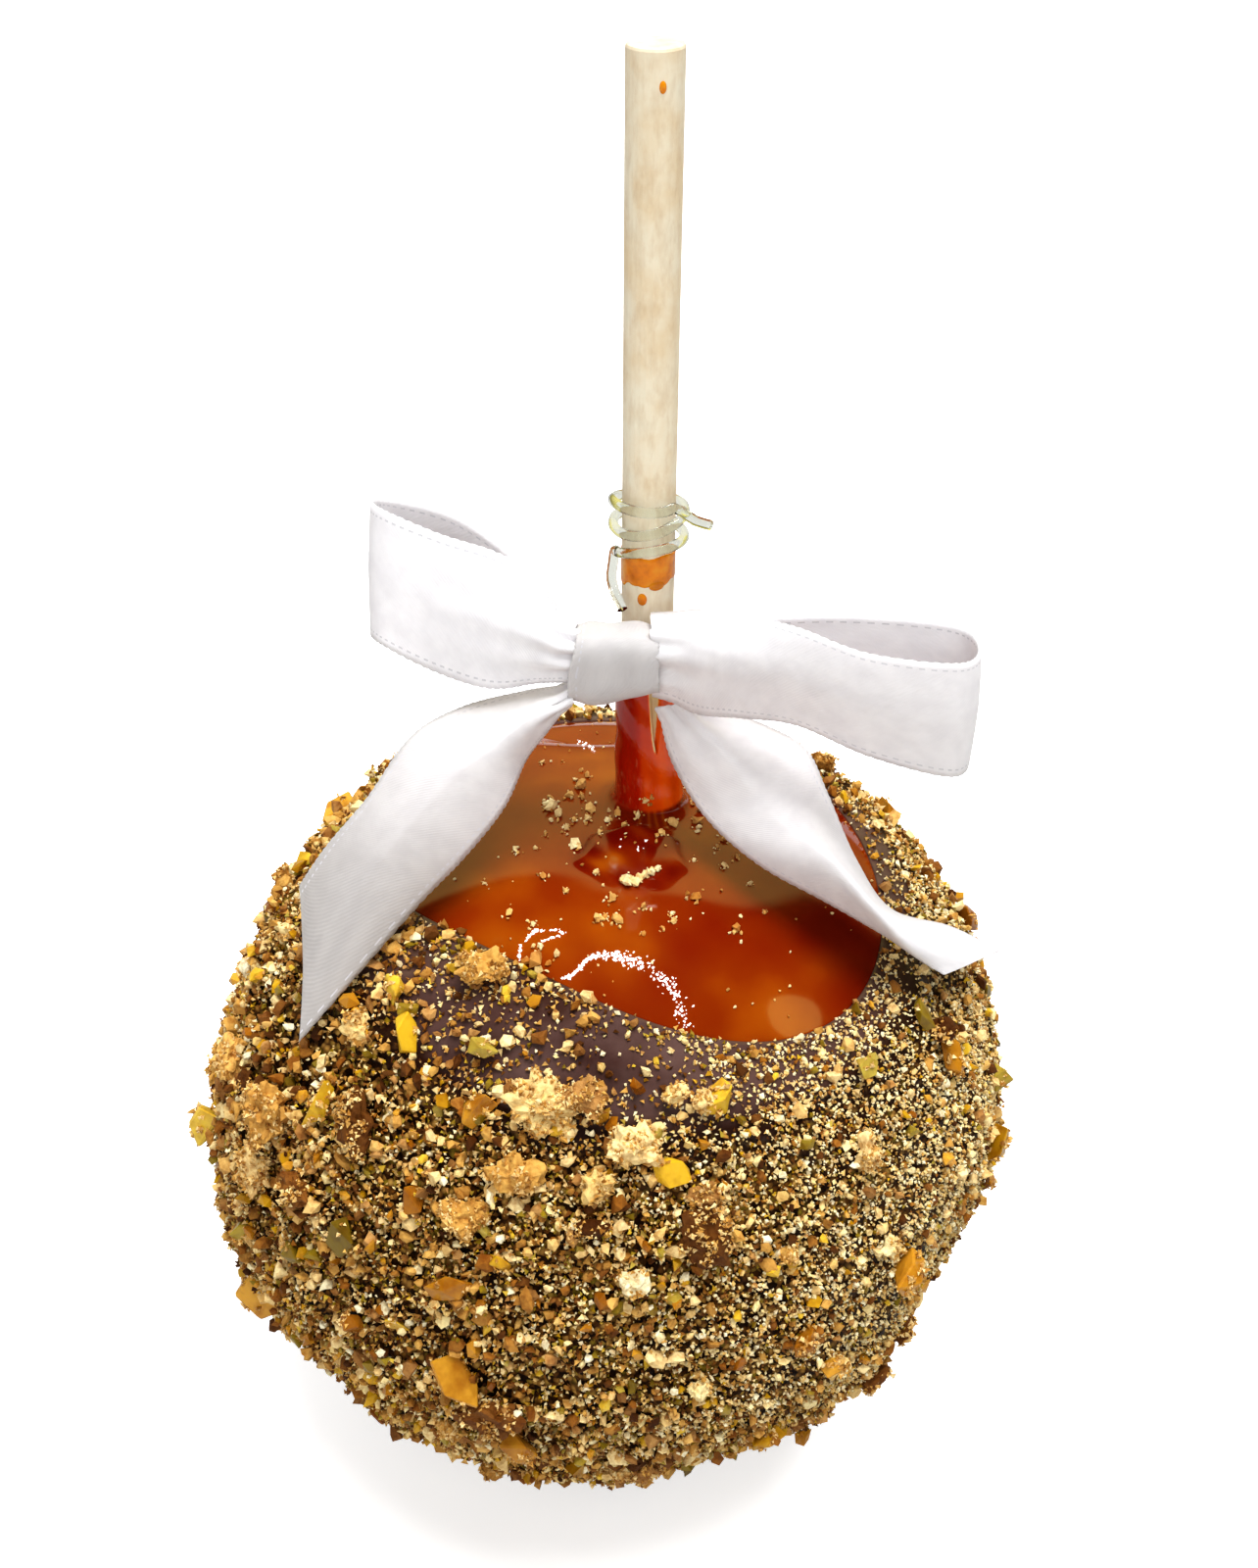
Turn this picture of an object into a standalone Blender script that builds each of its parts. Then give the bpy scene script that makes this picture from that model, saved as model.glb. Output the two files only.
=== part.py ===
# A caramel apple on a paper stick: an apple covered in caramel, dipped in dark chocolate up to a wavy rim,
# rolled in crumbs and chopped brittle, with a satin bow and a clear elastic tie on its stick.
# Metres, +Z up, origin in the middle of the flat spot that the apple stands on.

import math
import random

import bmesh
import bpy
from mathutils import Matrix, Vector

MM = 0.001
GAP = 0.3 * MM                       # between the faces of pieces that touch

# The apple's body with its caramel: a squarish round above its middle, a more pointed one below.
BODY_RADIUS = 49.4 * MM
MIDDLE_HEIGHT = 46.0 * MM            # of the body's middle above the table
UPPER_HEIGHT = 50.2 * MM             # from the middle to the crown, before the dimple
LOWER_HEIGHT = 49.6 * MM
UPPER_POWER = 2.35
LOWER_POWER = 1.82
LOWER_SHIFT = 3.4 * MM              # the lower half bulges towards -X
LEAN = math.radians(5.5)             # the crown leans towards +X
DIMPLE_DEPTH = 3.0 * MM              # the caramel fills the apple's own hollow
DIMPLE_RADIUS = 4.6 * MM
LOBES = 5
LOBE_HEIGHT = 0.3 * MM
LOBE_RING = 24.0 * MM                # radius at which the lobes stand highest
LOBE_SPREAD = 13.0 * MM
LOBE_TURN = math.radians(20)
# Bulges and dents of the whole body: degrees round, degrees down, half widths in degrees, millimetres.
BODY_LUMPS = (
    (-29, 96, 14, 14, -2.8), (-13, 85, 12, 12, 1.0), (-66, 118, 14, 14, -1.8), (-104, 127, 32, 18, -2.8),
    (-138, 118, 16, 15, -2.7), (160, 54, 14, 14, -2.0), (178, 70, 16, 13, -1.7),
)

# The chocolate coat with its crumbs.
COAT_INNER_FLOOR = 1.7 * MM          # thickness under the apple
COAT_OUTER = 2.4 * MM                # outer face of the crumbs over the caramel
COAT_RIM_OUTER = 1.3 * MM            # the coat thins towards its rim
RIM_TAPER = math.radians(9)
RIM_ANGLE = math.radians(36.7)       # from the apple's axis
RIM_WAVES = ((2, 2.0, -44), (3, 2.5, -55), (1, 0.5, -79))   # count, degrees high, degrees to the crest
CRUST_RELIEF = 0.6 * MM

# The stick, its hole and the caramel that climbs it.
STICK_RADIUS = 3.0 * MM
STICK_FOOT = Vector((4.9, 0.0, 45.0)) * MM
STICK_TOP = Vector((5.95, 0.0, 185.0)) * MM
STICK_SIDES = 32
STICK_CLEARANCE = 0.15 * MM
SLEEVE_TOP = 119.0 * MM
SLEEVE_THIN = 3.5 * MM               # outer radius at the top
SLEEVE_THICK = 4.2 * MM              # outer radius at the crown
SLEEVE_SHIFT = 0.5 * MM              # the caramel ran thicker on the +X side
SLEEVE_FLARE = 2.2 * MM              # height of the fillet where the sleeve meets the crown
FLARE_REACH = 0.9 * MM
CROWN_START = math.radians(3.2)      # where the crown meets the sleeve
CROWN_PULL = math.radians(9)         # the crown's hollow is centred on the stick within this

# The elastic tie.
TIE_RADIUS = 0.6 * MM
TIE_HIGH = 137.0 * MM
TIE_LOW = 131.0 * MM
TIE_TURNS = 2.31
TIE_STEPS = 34

# The satin ribbon.
RIBBON_THICKNESS = 0.7 * MM

CORE_COLUMNS = 40
HIDDEN_ROWS = 14
COAT_COLUMNS = 60


# ---------------------------------------------------------------- scene and materials

def clear_scene():
    for thing in list(bpy.data.objects):
        bpy.data.objects.remove(thing, do_unlink=True)


def new_collection(name):
    collection = bpy.data.collections.new(name)
    bpy.context.scene.collection.children.link(collection)
    return collection


def finish(name, colour, roughness, metallic=0.0):
    material = bpy.data.materials.new(name)
    material.use_nodes = True
    shader = material.node_tree.nodes["Principled BSDF"]
    shader.inputs["Base Color"].default_value = (*colour, 1.0)
    shader.inputs["Roughness"].default_value = roughness
    shader.inputs["Metallic"].default_value = metallic
    return material


def add_object(name, mesh, material, collection):
    thing = bpy.data.objects.new(name, mesh)
    collection.objects.link(thing)
    mesh.materials.clear()
    mesh.materials.append(material)
    return thing


def mesh_of(name, bm):
    mesh = bpy.data.meshes.new(name)
    bm.to_mesh(mesh)
    bm.free()
    return mesh


def smooth(value):
    value = min(max(value, 0.0), 1.0)
    return value * value * (3.0 - 2.0 * value)


def mapped_grid(bm, columns, rows, place):
    """A grid primitive whose points are laid on a surface: place(u, v) with u and v from 0 to 1."""
    made = bmesh.ops.create_grid(bm, x_segments=columns, y_segments=rows, size=0.5)
    for vert in made["verts"]:
        vert.co = place(vert.co.x + 0.5, vert.co.y + 0.5)
    return made["verts"]


# ---------------------------------------------------------------- the apple's surface

def body_lump(azimuth, polar):
    """How far the uneven apple stands out of its even shape."""
    height = 0.0
    for around, down, wide, high, millimetres in BODY_LUMPS:
        side = (azimuth - math.radians(around) + math.pi) % (2 * math.pi) - math.pi
        side /= math.radians(wide)
        rise = (polar - math.radians(down)) / math.radians(high)
        height += millimetres * MM * math.exp(-side * side - rise * rise)
    return height


def body_point(azimuth, polar, lift):
    """A point of the apple's surface, lifted outwards, in the leaning apple's own axes."""
    lift += body_lump(azimuth, polar)
    up = math.cos(polar) > 0.0
    power = UPPER_POWER if up else LOWER_POWER
    height = UPPER_HEIGHT if up else LOWER_HEIGHT
    radius = (BODY_RADIUS + lift) * abs(math.sin(polar)) ** (2.0 / power)
    rise = (height + lift) * math.copysign(abs(math.cos(polar)) ** (2.0 / power), math.cos(polar))
    side = 0.0
    if up:
        ring = math.exp(-((radius - LOBE_RING) / LOBE_SPREAD) ** 2)
        rise += LOBE_HEIGHT * ring * math.cos(LOBES * azimuth + LOBE_TURN)
        rise -= DIMPLE_DEPTH * math.exp(-(radius / DIMPLE_RADIUS) ** 2)
    else:
        side = LOWER_SHIFT * smooth(-1.6 * rise / height)
    return Vector((radius * math.cos(azimuth) - side, radius * math.sin(azimuth), rise))


def apple_point(azimuth, polar, lift, floor):
    """The same point in the object's frame, cut flat at the floor."""
    point = Matrix.Rotation(LEAN, 3, "Y") @ body_point(azimuth, polar, lift)
    point.z = max(point.z + MIDDLE_HEIGHT, floor)
    return point


def rim_polar(azimuth):
    """Where the chocolate ends, as the surface's own polar parameter."""
    angle = RIM_ANGLE
    for count, degrees, crest in RIM_WAVES:
        angle += math.radians(degrees) * math.cos(count * (azimuth - math.radians(crest)))
    return math.atan((math.tan(angle) * UPPER_HEIGHT / BODY_RADIUS) ** (UPPER_POWER / 2.0))


def crust_relief(azimuth, polar):
    """Soft unevenness of the crumb layer."""
    waves = math.sin(9 * azimuth + 5 * polar) * math.sin(11 * polar - 2 * azimuth)
    waves += 0.7 * math.sin(17 * azimuth - 8 * polar + 1.3) * math.sin(21 * polar + 0.4)
    return CRUST_RELIEF * waves * smooth((FOOT_MARGIN - polar) / RIM_TAPER)


# ---------------------------------------------------------------- caramel-covered apple

def stick_axis(height):
    share = (height - STICK_FOOT.z) / (STICK_TOP.z - STICK_FOOT.z)
    return STICK_FOOT.lerp(STICK_TOP, share)


def around_stick(azimuth, radius, height, shift=0.0):
    centre = stick_axis(height)
    return centre + Vector((radius * math.cos(azimuth) + shift, radius * math.sin(azimuth), 0.0))


def crown_point(azimuth, polar):
    """The crown's surface with the fillet of caramel round the stick."""
    point = apple_point(azimuth, polar, 0.0, 0.0)
    centre = stick_axis(point.z).x + SLEEVE_SHIFT
    pull = math.exp(-((polar - CROWN_START) / CROWN_PULL) ** 2)
    point.x += (centre - (point.z - MIDDLE_HEIGHT) * math.tan(LEAN)) * pull
    away = math.hypot(point.x - centre, point.y) - SLEEVE_THICK
    point.z += SLEEVE_FLARE * math.exp(-max(away, 0.0) / FLARE_REACH)
    return point


def build_apple(material, collection):
    hole = STICK_RADIUS + STICK_CLEARANCE
    hidden_rows = HIDDEN_ROWS
    crown_rows = 11
    sleeve_rows = 5
    floor = COAT_INNER_FLOOR + GAP

    def profile(azimuth):
        points = [around_stick(azimuth, 0.0, STICK_FOOT.z - GAP)]
        points.append(around_stick(azimuth, hole, STICK_FOOT.z - GAP))
        points.append(around_stick(azimuth, hole, SLEEVE_TOP - GAP))
        join = crown_point(azimuth, CROWN_START)
        for row in range(sleeve_rows):
            share = row / sleeve_rows
            height = SLEEVE_TOP + (join.z - SLEEVE_TOP) * share
            radius = SLEEVE_THIN + (SLEEVE_THICK - SLEEVE_THIN) * share
            points.append(around_stick(azimuth, radius, height, SLEEVE_SHIFT * share))
        rim = rim_polar(azimuth)
        for row in range(crown_rows):
            share = (row / crown_rows) ** 1.5
            points.append(crown_point(azimuth, CROWN_START + (rim - CROWN_START) * share))
        for row in range(hidden_rows + 1):
            polar = rim + (math.pi - rim) * row / hidden_rows
            points.append(apple_point(azimuth, polar, 0.0, floor))
        return points

    profiles = [profile(2 * math.pi * column / CORE_COLUMNS) for column in range(CORE_COLUMNS)]
    rows = len(profiles[0]) - 1

    def place(u, v):
        return profiles[round(u * CORE_COLUMNS) % CORE_COLUMNS][round(v * rows)]

    bm = bmesh.new()
    mapped_grid(bm, CORE_COLUMNS, rows, place)
    bmesh.ops.remove_doubles(bm, verts=bm.verts, dist=0.01 * MM)
    bmesh.ops.recalc_face_normals(bm, faces=bm.faces)
    apple = add_object("caramel_apple", mesh_of("caramel_apple", bm), material, collection)
    apple.data.shade_smooth()
    apple.data.set_sharp_from_angle(angle=math.radians(40))
    return apple


# ---------------------------------------------------------------- chocolate coat with crumbs

# The largest pieces: azimuth and polar angle, millimetres long, wide and high, and degrees turned.
LARGE_PIECES = (
    (-146, 70.5, 9.0, 8.0, 4.8, 90), (-168, 89, 8.0, 6.0, 5.0, 80), (-137, 64, 6.5, 2.2, 2.6, 85),
    (-130, 62, 8.5, 6.0, 3.6, -60), (-146, 80, 7.5, 5.5, 3.6, 20), (-136, 75.5, 5.5, 4.5, 3.6, 0),
    (-127, 77, 6.0, 4.5, 3.0, 70), (-149, 91, 4.0, 3.6, 2.8, 0), (-136, 85, 4.5, 3.6, 2.6, 0),
    (-151, 107, 10.0, 5.5, 4.8, -50), (-111, 76.5, 5.5, 3.4, 3.0, 35), (-124, 88, 3.8, 3.0, 2.6, -50),
    (-109, 89, 8.5, 6.5, 4.2, -30), (-104, 94, 9.5, 6.5, 4.2, 10), (-122, 112, 4.2, 3.8, 3.4, 0),
    (-99, 101, 5.5, 4.5, 3.2, 0), (-104, 50, 7.5, 6.5, 4.4, 0), (-97, 47.5, 6.0, 5.2, 3.6, 0),
    (-105, 59.5, 6.8, 5.0, 2.6, 20), (-94, 58.5, 4.2, 3.4, 2.8, -60), (-76, 47.5, 4.8, 3.6, 2.8, 40),
    (-83, 46.5, 3.6, 2.4, 2.2, 0), (-88.5, 53.5, 7.5, 5.0, 4.0, -20), (-84, 56.5, 5.0, 3.8, 2.8, -30),
    (-79, 65, 8.5, 8.0, 3.6, 90), (-79, 60, 4.5, 3.2, 3.0, 0), (-29, 56.5, 6.0, 2.8, 2.8, 80),
    (-18, 80, 6.0, 4.5, 3.4, 90), (-47, 80.5, 6.0, 4.5, 3.4, 20), (-64, 83, 4.5, 3.2, 2.8, 10),
    (-58, 88.5, 3.6, 3.0, 2.4, 0), (-78, 87, 3.0, 2.6, 2.0, 0), (-64, 103, 4.8, 3.4, 3.0, 10),
    (-80, 109, 6.0, 4.5, 3.4, 60), (-44, 104, 4.5, 4.0, 3.4, 0), (-136, 44.5, 4.6, 3.6, 2.8, 60),
    (-129, 48, 5.0, 3.4, 2.6, -60), (-137, 51.5, 4.4, 3.6, 2.8, 0), (-115, 45, 3.8, 3.0, 2.4, 0),
    (-122, 35, 7.5, 4.4, 3.4, 10), (7, 57, 6.5, 4.2, 3.2, -50), (28, 45, 4.5, 3.0, 2.8, -30),
    (-32, 48.5, 4.2, 1.8, 2.2, 80), (-49, 49, 3.2, 2.8, 2.0, 0), (-161, 73, 7.0, 5.0, 4.0, 0),
    (168, 62, 6.5, 5.0, 3.2, 0), (-88, 71, 4.0, 3.2, 2.6, 0), (-111, 67, 6.0, 5.0, 2.6, 0),
    (-94, 64.5, 5.0, 3.4, 2.6, 0), (70, 62, 9.0, 7.0, 4.0, 30), (118, 84, 8.0, 7.0, 4.0, 0),
    (150, 60, 7.0, 6.0, 3.6, 0), (178, 92, 8.5, 6.0, 4.0, 60), (38, 88, 8.5, 6.5, 3.8, -30),
    (95, 105, 7.0, 6.0, 3.6, 0),
)
SMALL_PIECES = 68
SMALL_SIZE = (2.6, 5.2)              # millimetres long
PIECE_SEED = 7
RIM_MARGIN = math.radians(5)
FOOT_MARGIN = math.radians(126)      # no pieces nearer the flat spot than this
GOLDEN_ANGLE = math.pi * (3 - math.sqrt(5))


def small_pieces(rng):
    """Spread evenly over the coat on a golden-angle spiral, each moved a little."""
    pieces = []
    for index in range(SMALL_PIECES * 2):
        polar = math.acos(1 - 2 * (index + 0.5) / (SMALL_PIECES * 2)) + rng.uniform(-0.05, 0.05)
        azimuth = index * GOLDEN_ANGLE + rng.uniform(-0.08, 0.08)
        long_side = rng.uniform(*SMALL_SIZE)
        wide = long_side * rng.uniform(0.6, 0.95)
        tall = long_side * rng.uniform(0.45, 0.7)
        spin = rng.uniform(0, 360)
        if rim_polar(azimuth) + RIM_MARGIN < polar < FOOT_MARGIN and index % 3:
            pieces.append((math.degrees(azimuth), math.degrees(polar), long_side, wide, tall, spin))
    return pieces


def surface_frame(azimuth, polar, lift):
    """A place on the coat with its outward direction."""
    step = 0.01
    here = apple_point(azimuth, polar, lift, -1.0)
    east = apple_point(azimuth + step, polar, lift, -1.0) - here
    south = apple_point(azimuth, polar + step, lift, -1.0) - here
    return here, south.cross(east).normalized()


def build_piece(index, piece, rng, collection):
    azimuth = math.radians(piece[0])
    polar = math.radians(piece[1])
    long_side, wide, tall = (side * MM for side in piece[2:5])
    here, outward = surface_frame(azimuth, polar, COAT_OUTER)
    bm = bmesh.new()
    bmesh.ops.create_icosphere(bm, subdivisions=1, radius=0.5)
    for vert in bm.verts:
        vert.co *= rng.uniform(0.80, 1.20)
        vert.co.x *= long_side
        vert.co.y *= wide
        vert.co.z *= tall
    turn = outward.to_track_quat("Z", "Y").to_matrix() @ Matrix.Rotation(math.radians(piece[5]), 3, "Z")
    sunk = here + outward * max(tall * 0.22, tall * 0.5 - 1.1 * MM)
    bmesh.ops.transform(bm, matrix=Matrix.Translation(sunk) @ turn.to_4x4(), verts=bm.verts)
    mesh = mesh_of(f"piece_{index}", bm)
    collection.objects.link(bpy.data.objects.new(f"piece_{index}", mesh))


def coat_shell():
    """An outer face with the crumbs' relief, an inner face that follows the caramel, and a rim."""
    inner_rows = HIDDEN_ROWS
    outer_rows = 24
    bm = bmesh.new()

    def outer(u, v):
        azimuth = 2 * math.pi * u
        rim = rim_polar(azimuth)
        polar = rim + (math.pi - rim) * v ** 0.95
        share = smooth((polar - rim) / RIM_TAPER)
        lift = COAT_RIM_OUTER + (COAT_OUTER - COAT_RIM_OUTER + crust_relief(azimuth, polar)) * share
        return apple_point(azimuth, polar, lift, 0.0)

    def inner(u, v):
        azimuth = 2 * math.pi * u
        rim = rim_polar(azimuth)
        return apple_point(azimuth, rim + (math.pi - rim) * v, GAP, COAT_INNER_FLOOR)

    mapped_grid(bm, COAT_COLUMNS, outer_rows, outer)
    mapped_grid(bm, CORE_COLUMNS, inner_rows, inner)
    bmesh.ops.remove_doubles(bm, verts=bm.verts, dist=0.01 * MM)
    bmesh.ops.bridge_loops(bm, edges=[edge for edge in bm.edges if edge.is_boundary])
    bmesh.ops.triangulate(bm, faces=bm.faces)
    bmesh.ops.recalc_face_normals(bm, faces=bm.faces)
    return mesh_of("nut_chocolate_coat", bm)


def keep_largest_shell(mesh):
    """Loose scraps and sealed hollows are shells of their own: only the coat itself stays."""
    bm = bmesh.new()
    bm.from_mesh(mesh)
    bmesh.ops.remove_doubles(bm, verts=bm.verts, dist=0.002 * MM)
    seen = set()
    shells = []
    for start in bm.verts:
        if start in seen:
            continue
        seen.add(start)
        shell = [start]
        for vert in shell:
            for edge in vert.link_edges:
                other = edge.other_vert(vert)
                if other not in seen:
                    seen.add(other)
                    shell.append(other)
        shells.append(shell)
    shells.sort(key=len, reverse=True)
    for shell in shells[1:]:
        bmesh.ops.delete(bm, geom=shell, context="VERTS")
    bmesh.ops.triangulate(bm, faces=bm.faces)
    bm.to_mesh(mesh)
    bm.free()


def build_coat(material, collection):
    coat = add_object("nut_chocolate_coat", coat_shell(), material, collection)
    pieces = new_collection("coat_pieces")
    rng = random.Random(PIECE_SEED)
    for index, piece in enumerate((*LARGE_PIECES, *small_pieces(rng))):
        build_piece(index, piece, rng, pieces)
    union = coat.modifiers.new("pieces", "BOOLEAN")
    union.operation = "UNION"
    union.operand_type = "COLLECTION"
    union.collection = pieces
    union.solver = "MANIFOLD"
    graph = bpy.context.evaluated_depsgraph_get()
    joined = bpy.data.meshes.new_from_object(coat.evaluated_get(graph))
    coat.modifiers.clear()
    coat.data = joined
    for piece in list(pieces.objects):
        bpy.data.objects.remove(piece, do_unlink=True)
    bpy.data.collections.remove(pieces)
    keep_largest_shell(joined)
    joined.materials.clear()
    joined.materials.append(material)
    return coat


# ---------------------------------------------------------------- stick and elastic tie

def build_stick(material, collection):
    length = (STICK_TOP - STICK_FOOT).length
    bm = bmesh.new()
    bmesh.ops.create_cone(bm, cap_ends=True, segments=STICK_SIDES, radius1=STICK_RADIUS,
                          radius2=STICK_RADIUS, depth=length)
    stick = add_object("paper_stick", mesh_of("paper_stick", bm), material, collection)
    stick.location = (STICK_FOOT + STICK_TOP) / 2
    stick.rotation_euler = (STICK_TOP - STICK_FOOT).to_track_quat("Z", "Y").to_euler()
    edge = stick.modifiers.new("worn_edge", "BEVEL")
    edge.width = 0.35 * MM
    edge.segments = 2
    edge.limit_method = "ANGLE"
    stick.data.shade_smooth()
    stick.data.set_sharp_from_angle(angle=math.radians(40))
    return stick


def tie_route():
    """A stub that points to +X, turns round the stick, then a strand down to the bow."""
    ring = STICK_RADIUS + STICK_CLEARANCE + TIE_RADIUS
    stub = [Vector((12.4, -2.6, 134.4)) * MM, Vector((10.6, -3.0, 135.2)) * MM]
    turns = []
    for step in range(TIE_STEPS + 1):
        share = step / TIE_STEPS
        azimuth = math.radians(-48) - 2 * math.pi * TIE_TURNS * share
        turns.append(around_stick(azimuth, ring + 0.25 * MM, TIE_HIGH + (TIE_LOW - TIE_HIGH) * share))
    strand = [Vector((1.6, -1.6, 129.6)) * MM, Vector((1.4, -2.6, 127.6)) * MM,
              Vector((2.6, -5.4, 125.4)) * MM]
    return [*stub, *turns, *strand]


def build_tie(material, collection):
    curve = bpy.data.curves.new("elastic_tie", "CURVE")
    curve.dimensions = "3D"
    curve.bevel_depth = TIE_RADIUS
    curve.bevel_resolution = 1
    curve.use_fill_caps = True
    route = tie_route()
    spline = curve.splines.new("POLY")
    spline.points.add(len(route) - 1)
    for point, place in zip(spline.points, route):
        point.co = (*place, 1.0)
    curve.materials.append(material)
    tie = bpy.data.objects.new("elastic_tie", curve)
    collection.objects.link(tie)
    return tie


# ---------------------------------------------------------------- the bow

# Each ribbon by its stations from the knot outwards: top edge, ridge and bottom edge in millimetres.
LOOP_LEFT = (
    ((-4.0, -6.5, 124.5), (-4.0, -9.5, 122.5), (-4.0, -9.0, 118.2)),
    ((-6.5, -5.0, 128.5), (-6.5, -9.5, 124.0), (-7.0, -8.5, 117.8)),
    ((-11.0, -3.0, 131.0), (-11.5, -7.0, 124.5), (-12.5, -7.5, 116.5)),
    ((-18.0, 0.0, 132.0), (-18.5, -3.0, 125.0), (-19.0, -4.5, 117.0)),
    ((-24.5, 3.0, 133.5), (-25.0, 0.5, 126.0), (-25.0, -2.0, 119.0)),
    ((-26.0, 5.5, 133.5), (-26.5, 3.5, 126.5), (-26.5, 1.0, 119.0)),
    ((-24.0, 7.0, 133.0), (-24.5, 6.0, 126.0), (-24.0, 4.0, 118.0)),
    ((-16.5, 4.5, 132.0), (-17.0, 4.5, 124.0), (-16.5, 3.0, 115.5)),
    ((-10.0, 1.0, 128.5), (-11.0, 0.5, 122.0), (-12.0, -1.5, 114.0)),
    ((-4.2, -3.5, 123.0), (-4.2, -4.2, 120.5), (-4.2, -5.0, 118.2)),
)
LOOP_RIGHT = (
    ((7.4, -5.0, 124.5), (7.4, -10.0, 123.5), (7.6, -8.5, 116.0)),
    ((11.0, -5.0, 125.0), (11.0, -11.5, 124.0), (11.0, -9.2, 114.2)),
    ((16.0, -9.0, 126.5), (15.5, -12.5, 123.0), (16.0, -9.8, 114.0)),
    ((21.5, -12.5, 127.0), (22.0, -13.5, 121.0), (22.5, -9.8, 113.0)),
    ((29.5, -14.0, 124.5), (30.0, -14.0, 118.0), (31.0, -11.0, 109.5)),
    ((39.5, -13.5, 123.0), (40.0, -13.5, 116.0), (40.5, -12.0, 107.5)),
    ((42.0, -10.5, 123.5), (42.5, -10.0, 116.5), (42.5, -8.0, 108.5)),
    ((39.5, -6.5, 124.0), (40.0, -6.0, 117.0), (40.5, -4.0, 109.5)),
    ((28.0, -3.5, 123.5), (28.5, -2.5, 117.0), (29.0, -0.5, 110.0)),
    ((16.0, -3.0, 122.5), (16.5, -2.0, 117.5), (17.0, -1.0, 112.5)),
    ((9.6, -3.6, 121.0), (9.6, -3.4, 118.5), (9.8, -3.4, 116.0)),
)
TAIL_LEFT = (
    ((-4.2, -7.5, 116.6), (-4.0, -10.5, 116.4), (-4.2, -9.5, 114.6)),
    ((-8.5, -6.0, 115.0), (-7.5, -12.0, 115.5), (-6.0, -10.5, 112.5)),
    ((-16.0, -5.5, 112.5), (-11.5, -13.0, 112.5), (-8.5, -11.0, 109.0)),
    ((-21.5, -9.5, 111.0), (-16.0, -15.0, 110.0), (-11.0, -14.0, 104.5)),
    ((-26.5, -13.0, 105.0), (-21.5, -18.0, 105.0), (-15.5, -17.5, 100.0)),
    ((-31.5, -14.0, 99.0), (-26.0, -20.0, 99.5), (-21.5, -20.5, 94.5)),
    ((-35.0, -15.0, 94.0), (-34.0, -23.0, 88.5), (-34.5, -28.0, 81.5)),
)
TAIL_RIGHT = (
    ((12.0, -4.4, 112.5), (9.5, -6.8, 113.0), (7.0, -6.6, 112.4)),
    ((19.5, -4.0, 109.0), (14.0, -10.5, 110.0), (8.5, -8.5, 107.0)),
    ((24.0, -6.0, 107.0), (18.5, -12.5, 104.5), (12.5, -12.0, 101.5)),
    ((26.5, -8.5, 102.5), (22.5, -16.0, 102.0), (18.5, -15.5, 97.5)),
    ((30.0, -12.0, 95.5), (26.5, -19.0, 100.5), (26.0, -18.5, 94.5)),
    ((34.5, -13.0, 89.0), (31.5, -21.5, 95.5), (32.5, -20.0, 91.0)),
    ((42.5, -10.0, 84.0), (36.5, -20.5, 90.0), (36.8, -20.0, 87.5)),
    ((49.0, -9.0, 79.5), (44.5, -15.0, 82.5), (40.5, -19.0, 84.0)),
)
KNOT_LOW = Vector((-3.4, -11.0, 115.4)) * MM
KNOT_HIGH = Vector((6.6, -4.7, 124.4)) * MM


def along(points, share):
    """A smooth curve through a rail's points, at a share of its stations."""
    spans = len(points) - 1
    place = min(share * spans, spans - 1e-6)
    index = int(place)
    t = place - index
    before = points[max(index - 1, 0)]
    start = points[index]
    end = points[index + 1]
    after = points[min(index + 2, spans)]
    return 0.5 * (2 * start + (end - before) * t + (2 * before - 5 * start + 4 * end - after) * t * t
                  + (3 * start - before - 3 * end + after) * t * t * t)


def build_ribbon(name, stations, material, collection):
    rails = [[Vector(station[side]) * MM for station in stations] for side in range(3)]

    def place(u, v):
        top, ridge, bottom = (along(rail, u) for rail in rails)
        bend = ridge * 2 - (top + bottom) * 0.5
        return top * (1 - v) ** 2 + bend * 2 * v * (1 - v) + bottom * v * v

    bm = bmesh.new()
    mapped_grid(bm, 3 * (len(stations) - 1), 4, place)
    bmesh.ops.triangulate(bm, faces=bm.faces)
    ribbon = add_object(name, mesh_of(name, bm), material, collection)
    wall = ribbon.modifiers.new("thickness", "SOLIDIFY")
    wall.thickness = RIBBON_THICKNESS
    wall.offset = 0.0
    ribbon.data.shade_smooth()
    return ribbon


def build_knot(material, collection):
    """The band that is wrapped round the middle of the bow."""
    size = KNOT_HIGH - KNOT_LOW
    bm = bmesh.new()
    bmesh.ops.create_cube(bm, size=1.0)
    bmesh.ops.scale(bm, vec=size, verts=bm.verts)
    bmesh.ops.translate(bm, vec=(KNOT_LOW + KNOT_HIGH) / 2, verts=bm.verts)
    for vert in bm.verts:
        if vert.co.z > (KNOT_LOW.z + KNOT_HIGH.z) / 2 and vert.co.x < 0:
            vert.co.x += 1.0 * MM
        elif vert.co.z < (KNOT_LOW.z + KNOT_HIGH.z) / 2 and vert.co.x > 0:
            vert.co.z += 1.4 * MM
    knot = add_object("bow_knot", mesh_of("bow_knot", bm), material, collection)
    rounding = knot.modifiers.new("soft_edges", "BEVEL")
    rounding.width = 2.2 * MM
    rounding.segments = 3
    knot.data.shade_smooth()
    return knot


# ---------------------------------------------------------------- assembly

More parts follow.
